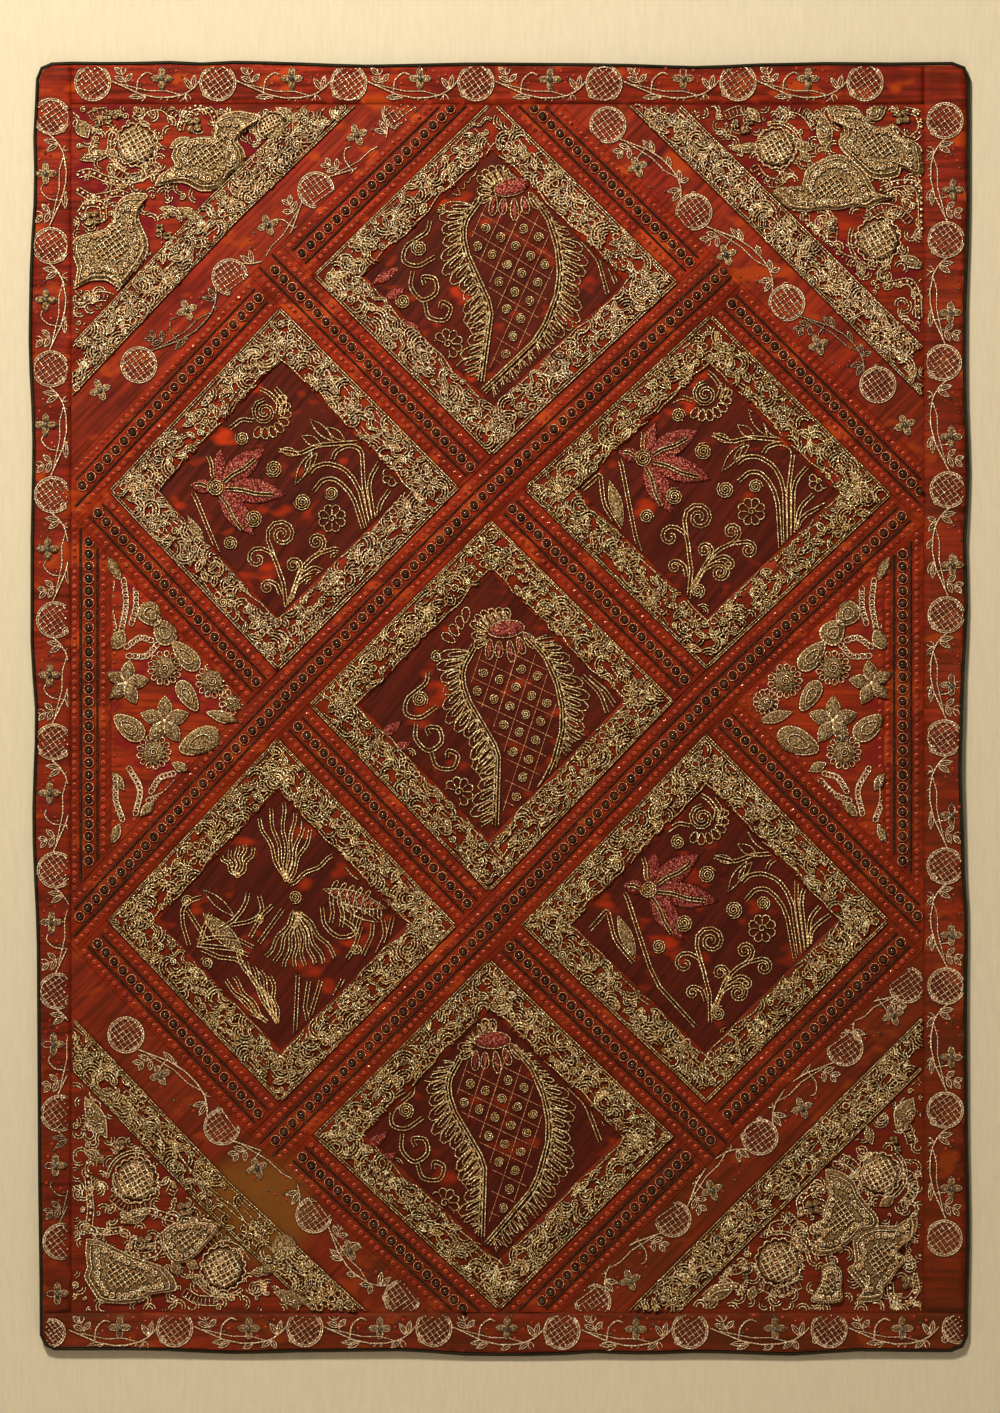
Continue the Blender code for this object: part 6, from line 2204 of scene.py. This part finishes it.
@dataclass
class HalfDiamond(Panel):
    """Padded stars, leaves and paisleys between chained sprays; mirrored places make the right one."""

    mirror: bool = False
    gold: Look = Look.PALE_GOLD
    leaves: tuple = (
        (108, 556, 120, 580, 11), (112, 650, 124, 630, 15), (206, 712, 240, 722, 11),
        (172, 763, 189, 771, 9),
        (141, 816, 155, 802, 10), (111, 844, 120, 824, 9), (226, 700, 240, 708, 12),
        (112, 772, 124, 790, 9),
    )
    drops: tuple = (
        (186, 656, 36, 18, -48), (188, 696, 34, 16, 122), (129, 727, 36, 20, -38), (200, 742, 44, 25, 22),
        (151, 614, 26, 22, 130), (165, 632, 26, 22, -50),
    )
    stars: tuple = ((126, 683, 23, 80), (165, 721, 25, 90))
    rounds: tuple = ((165, 668, 15), (213, 681, 15), (154, 752, 15), (232, 702, 9))
    chains: tuple = (
        ((112, 584), (110, 606), (114, 626)), ((124, 582), (126, 604), (122, 628)),
        ((136, 590), (136, 606), (132, 622)),
        ((116, 780), (116, 800), (122, 818)), ((130, 770), (140, 790), (136, 812)),
        ((152, 790), (160, 778), (172, 774)),
        ((150, 800), (164, 794), (176, 782)), ((128, 646), (140, 638), (150, 640)),
        ((130, 656), (146, 656), (156, 646)),
    )

    def real(self, x: float, y: float) -> np.ndarray:
        """A place, mirrored where the panel is the right one."""
        return at(998 - x if self.mirror else x, y)

    def turned(self, angle: float) -> float:
        """An angle, mirrored in the same way."""
        return 180 - angle if self.mirror else angle

    def drop(self, x: float, y: float, long: float, wide: float, turn: float) -> Path:
        """A teardrop by its middle, its two lengths and the way that its round end points."""
        angle = self.turned(turn)
        foot = self.real(x, y) - heading(math.radians(angle)) * long / 2 * UNIT
        return petal(foot, angle, long * UNIT, wide * UNIT, 18)

    def star(self, x: float, y: float, radius: float, turn: float) -> list[Path]:
        """Five pointed petals."""
        found = []
        for k in range(5):
            angle = math.radians(self.turned(turn + 72 * k))
            tip = self.real(x, y) + radius * UNIT * heading(angle)
            found.append(leaf(self.real(x, y), tip, radius * 0.56 * UNIT, 6))
        return found

    def pads(self) -> None:
        """The padded forms."""
        for x0, y0, x1, y1, width in self.leaves:
            self.pale.add(leaf(self.real(x0, y0), self.real(x1, y1), width * UNIT, 7), 3.4 * MM)
        for x, y, long, wide, turn in self.drops:
            self.pale.add(self.drop(x, y, long, wide, turn), 4.2 * MM)
        for row in self.stars:
            for petal_outline in self.star(*row):
                self.pale.add(petal_outline, 4.4 * MM)
        for x, y, radius in self.rounds:
            self.pale.add(oval(self.real(x, y), 1.5 * radius * UNIT, 1.5 * radius * UNIT, 0, 14), 4.6 * MM)

    def stitches(self) -> None:
        """Outlines, ribs, ringed rounds and chains."""
        work, gold = self.work, self.gold
        for x0, y0, x1, y1, width in self.leaves:
            outline = leaf(self.real(x0, y0), self.real(x1, y1), width * UNIT, 9)
            work.lay(outline, gold, 1.1 * MM, lift=0.5 * MM, tone=0.0)
        for x, y, long, wide, turn in self.drops:
            work.lay(self.drop(x, y, long, wide, turn), gold, 1.2 * MM, lift=0.5 * MM, tone=0.0)
            work.lay(self.drop(x, y, long * 0.5, wide * 0.5, turn), gold, 0.95 * MM, lift=0.4 * MM,
                     tone=0.0)
        for row in self.stars:
            middle = self.real(*row[:2])
            for petal_outline in self.star(*row):
                work.lay(petal_outline, gold, 1.05 * MM, lift=0.4 * MM, tone=0.0)
                work.lay(middle + (petal_outline - middle) * 0.55, gold, 0.7 * MM, lift=0.2 * MM, tone=0.6)
            work.dot(middle, gold, 2.6 * MM, sit=0.8)
        for x, y, radius in self.rounds:
            middle = self.real(x, y)
            coil(work, middle, radius * 0.45 * UNIT, gold)
            fan(work, middle, (0, 332), 13, 6.5 * UNIT, 5 * UNIT, gold, radius * 0.72 * UNIT, False,
                0.85 * MM)
        for places in self.chains:
            path = smooth_path([self.real(*place) for place in places], 5.0 * MM)
            ways = normals_of(path)
            for k, place in enumerate(path):
                angle = math.degrees(math.atan2(-ways[k][0], ways[k][1]))
                work.lay(oval(place, 8.6 * UNIT, 5.4 * UNIT, angle, 10), Look.SILVER, 0.95 * MM, tone=0.1)
        rim = self.work.outline
        rows = rim.mean(axis=0) + (rim - rim.mean(axis=0)) * 0.93
        for start, end in zip(rows, np.roll(rows, -1, axis=0)):
            count = int(np.linalg.norm(end - start) / (8 * MM))
            if count > 8:
                row = start + (end - start) * np.linspace(0, 1, count)[:, None]
                row = row[self.work.surface(row) < PATCH_BACK + 2.4 * MM]
                work.dot(row, Look.SEQUIN, 1.9 * MM, 0.2, True)


@dataclass
class StripPanel(Panel):
    """A diagonal strip of the border's silk."""

    roundels: tuple = ()
    flowers: tuple = ()
    side: int = 1

    def make(self, shop: Workshop) -> None:
        """Makes the silk and the vine on it."""
        ClothPiece(self.node, self.look, self.front, PATCH_BACK, 0.007).make(shop)
        VineWork(self.node, self.front, outlines_of(self.node)[0], self.roundels, self.flowers, self.side,
                 22.0).make(shop)


BORDERS = (
    BorderStrip("border_top", ((93, 83), (218, 83), (349, 84), (476, 83), (604, 84), (738, 83), (865, 83)),
                ((162, 79), (292, 79), (420, 79), (550, 80), (683, 79), (808, 79))),
    BorderStrip("border_left", ((52, 117), (51, 246), (51, 369), (53, 495), (55, 620), (54, 742), (56, 870),
                                (58, 991), (60, 1113), (62, 1241)),
                ((46, 174), (46, 300), (46, 425), (48, 549), (50, 675), (50, 793), (52, 922), (54, 1044),
                 (56, 1165), (58, 1293)), -1),
    BorderStrip("border_bottom", ((52, 1332, 14), (175, 1328), (305, 1328), (434, 1328), (562, 1331),
                                  (690, 1330),
                                  (829, 1329), (957, 1328, 15)),
                ((120, 1327), (249, 1328), (380, 1328), (507, 1328), (636, 1329), (775, 1328),
                 (902, 1328))),
    BorderStrip("border_right", ((945, 121), (946, 240), (943, 363), (948, 490), (946, 615), (944, 738),
                                 (945, 866),
                                 (946, 986), (945, 1110), (944, 1238)),
                ((953, 190), (950, 313), (951, 437), (952, 565), (951, 685), (951, 815), (951, 935),
                 (951, 1057),
                 (951, 1188)), -1),
)
STRIPS = (
    ("top_left", ((400, 112), (316, 190), (230, 277), (139, 365)),
     ((357, 135), (268, 225), (187, 310), (100, 390)), 1),
    ("top_right", ((608, 125), (694, 212), (787, 303), (878, 385)),
     ((637, 167), (726, 255), (818, 345), (905, 425)), 1),
    ("bottom_left", ((126, 1035), (222, 1127), (314, 1215), (402, 1298)),
     ((160, 1075), (257, 1168), (350, 1250)), 1),
    ("bottom_right", ((907, 985), (845, 1048), (760, 1137), (673, 1219), (593, 1302)),
     ((893, 1015), (802, 1108), (712, 1190), (630, 1280)), 1),
)
UPRIGHTS = {"ribbon_upright_left": (89.0, 535, 880), "ribbon_upright_right": (902.5, 535, 880)}


@dataclass
class Studio:
    """A pale floor and backdrop, soft light from the upper left, a weak light behind, and the camera."""

    view_width: float = 0.9
    view_height: float = 0.9 * 1413 / 1000
    middle: tuple[float, float] = (-0.0004, -0.5792)
    distance: float = 3.2
    face: float = -0.004
    sensor: float = 24.0
    wall_gap: float = 0.001
    floor_level: float = -1.75
    wall_top: float = 1.6
    air: Colour = (1.0, 0.88, 0.70)
    air_strength: float = 0.07
    gamma: float = 0.86

    def plain(self, name: str, colour: Colour, one_sided: bool) -> bpy.types.Material:
        """A plain pale material, seen from its front alone and throwing no shadow where asked."""
        made, w, shader = new_material(name)
        weave = w.noise(w.stretched(w.place(), (500.0, 500.0, 60.0)), 1.0, 2.0)
        darker = tuple(c * 0.93 for c in colour)
        w.settle(shader, Base_Color=w.mix(w.ramp(weave, 0.3, 0.7), colour, darker), Roughness=0.95)
        if one_sided:
            facing = w.node("ShaderNodeNewGeometry").outputs["Backfacing"]
            shadow = w.node("ShaderNodeLightPath").outputs["Is Shadow Ray"]
            w.feed(shader.inputs["Alpha"], w.math("SUBTRACT", 1.0, w.math("MAXIMUM", facing, shadow)))
        return made

    def slab(self, name: str, corners: Sequence[Sequence[float]], material: bpy.types.Material) -> None:
        """One flat stage piece."""
        mesh = bpy.data.meshes.new(name)
        mesh.from_pydata([tuple(corner) for corner in corners], [], [(0, 1, 2, 3)])
        mesh.materials.append(material)
        linked(name, mesh)

    def light(self, name: str, place: Sequence[float], power: float, size: float, colour: Colour) -> None:
        """One soft square light that points at the hanging's middle."""
        lamp = bpy.data.lights.new(name, "AREA")
        lamp.energy, lamp.size, lamp.color = power, size, colour
        holder = linked(name, lamp)
        aim = Vector((self.middle[0], 0.0, self.middle[1])) - Vector(place)
        holder.rotation_euler = aim.to_track_quat("-Z", "Y").to_euler()
        holder.location = place

    def make(self) -> None:
        """Sets the stage, the lights and the camera."""
        x, z = self.middle
        wall = self.plain("stage_wall", (0.66, 0.610, 0.570), True)
        low, high, gap = self.floor_level, self.wall_top, self.wall_gap
        self.slab("stage_wall", [(x - 3, gap, low), (x + 3, gap, low), (x + 3, gap, high),
                                 (x - 3, gap, high)], wall)
        floor = self.plain("stage_floor", (0.80, 0.74, 0.64), False)
        self.slab("stage_floor", [(x - 4, -4, low), (x + 4, -4, low), (x + 4, 4, low), (x - 4, 4, low)],
                  floor)
        self.light("key_light", (-0.80, -2.15, 1.20), 97.0, 0.42, (1.0, 0.90, 0.64))
        self.light("fill_light", (1.6, -2.8, 0.3), 8.0, 1.6, (1.0, 0.88, 0.62))
        self.light("back_light", (-0.9, 2.6, -0.2), 60.0, 1.4, (1.0, 0.92, 0.78))
        world = bpy.data.worlds.new("studio_air")
        world.use_nodes = True
        background = world.node_tree.nodes["Background"]
        Wiring(world.node_tree).settle(background, Color=self.air, Strength=self.air_strength)
        bpy.context.scene.world = world
        bpy.context.scene.view_settings.view_transform = "Standard"
        bpy.context.scene.view_settings.gamma = self.gamma
        lens = bpy.data.cameras.new("camera")
        lens.sensor_fit = "VERTICAL"
        lens.sensor_height = self.sensor
        lens.lens = self.sensor * (self.distance + self.face) / self.view_height
        camera = linked("camera", lens)
        camera.location = (x, -self.distance, z)
        camera.rotation_euler = (math.radians(90), 0, 0)
        bpy.context.scene.camera = camera


def main() -> None:
    """Builds every sub-assembly in order."""
    logging.basicConfig(level=logging.INFO, format="%(message)s")
    shop = Workshop(Trees(), Wardrobe())
    RimCloth("ground_cloth", Look.BACKING, 0.0, 0.03).make(shop)
    RimCloth("edge_piping", Look.PIPING, 0.0, 0.012, True).make(shop)
    for strip in BORDERS:
        strip.make(shop)
    for node, names in RIBBON_PATHS.items():
        BeadedRibbon(node, np.array([crossing(name) for name in names])).make(shop)
    for node, (x, top, bottom) in UPRIGHTS.items():
        UprightRibbon(node, all_at([(x, top), (x, bottom)])).make(shop)
    places = ("top", "upper_left", "upper_right", "centre", "lower_left", "lower_right", "bottom")
    for seed, place in enumerate(places, 11):
        look = Look.PALE_GOLD if place in ("top", "upper_left") else Look.GOLD
        GoldWork("gold_frame_" + place, seed, look).make(shop)
    for panel in (
        PodPanel("motif_panel_top", (512, 187), 21),
        PodPanel("motif_panel_centre", (506, 629), 22, turn=-6.0, tilt=0.0),
        PodPanel("motif_panel_bottom", (492, 1040), 23, turn=-6.0, tilt=-6.0),
        StarPanel("motif_panel_upper_left", (216, 487), 24, turn=-11.0),
        StarPanel("motif_panel_upper_right", (643.5, 458.5), 25),
        StarPanel("motif_panel_lower_right", (648.5, 889), 26, turn=-7.0),
        ReedPanel("motif_panel_lower_left", (295, 897), 27),
    ):
        panel.make(shop)
    for seed, (place, roundels, flowers, side) in enumerate(STRIPS, 31):
        StripPanel("roundel_strip_" + place, (0, 0), seed, Look.STRIP, roundels=roundels, flowers=flowers,
                   side=side).make(shop)
        GoldWork("gold_band_" + place, seed + 10,
                 Look.PALE_GOLD if "top" in place else Look.GOLD).make(shop)
        CornerPanel("velvet_corner_" + place, (0, 0), seed + 20, Look.VELVET,
                    plan=CORNER_PLANS[place]).make(shop)
    HalfDiamond("half_diamond_left", (0, 0), 61, Look.HALF).make(shop)
    HalfDiamond("half_diamond_right", (0, 0), 62, Look.HALF, mirror=True).make(shop)
    Studio().make()


if __name__ == "__main__":
    main()
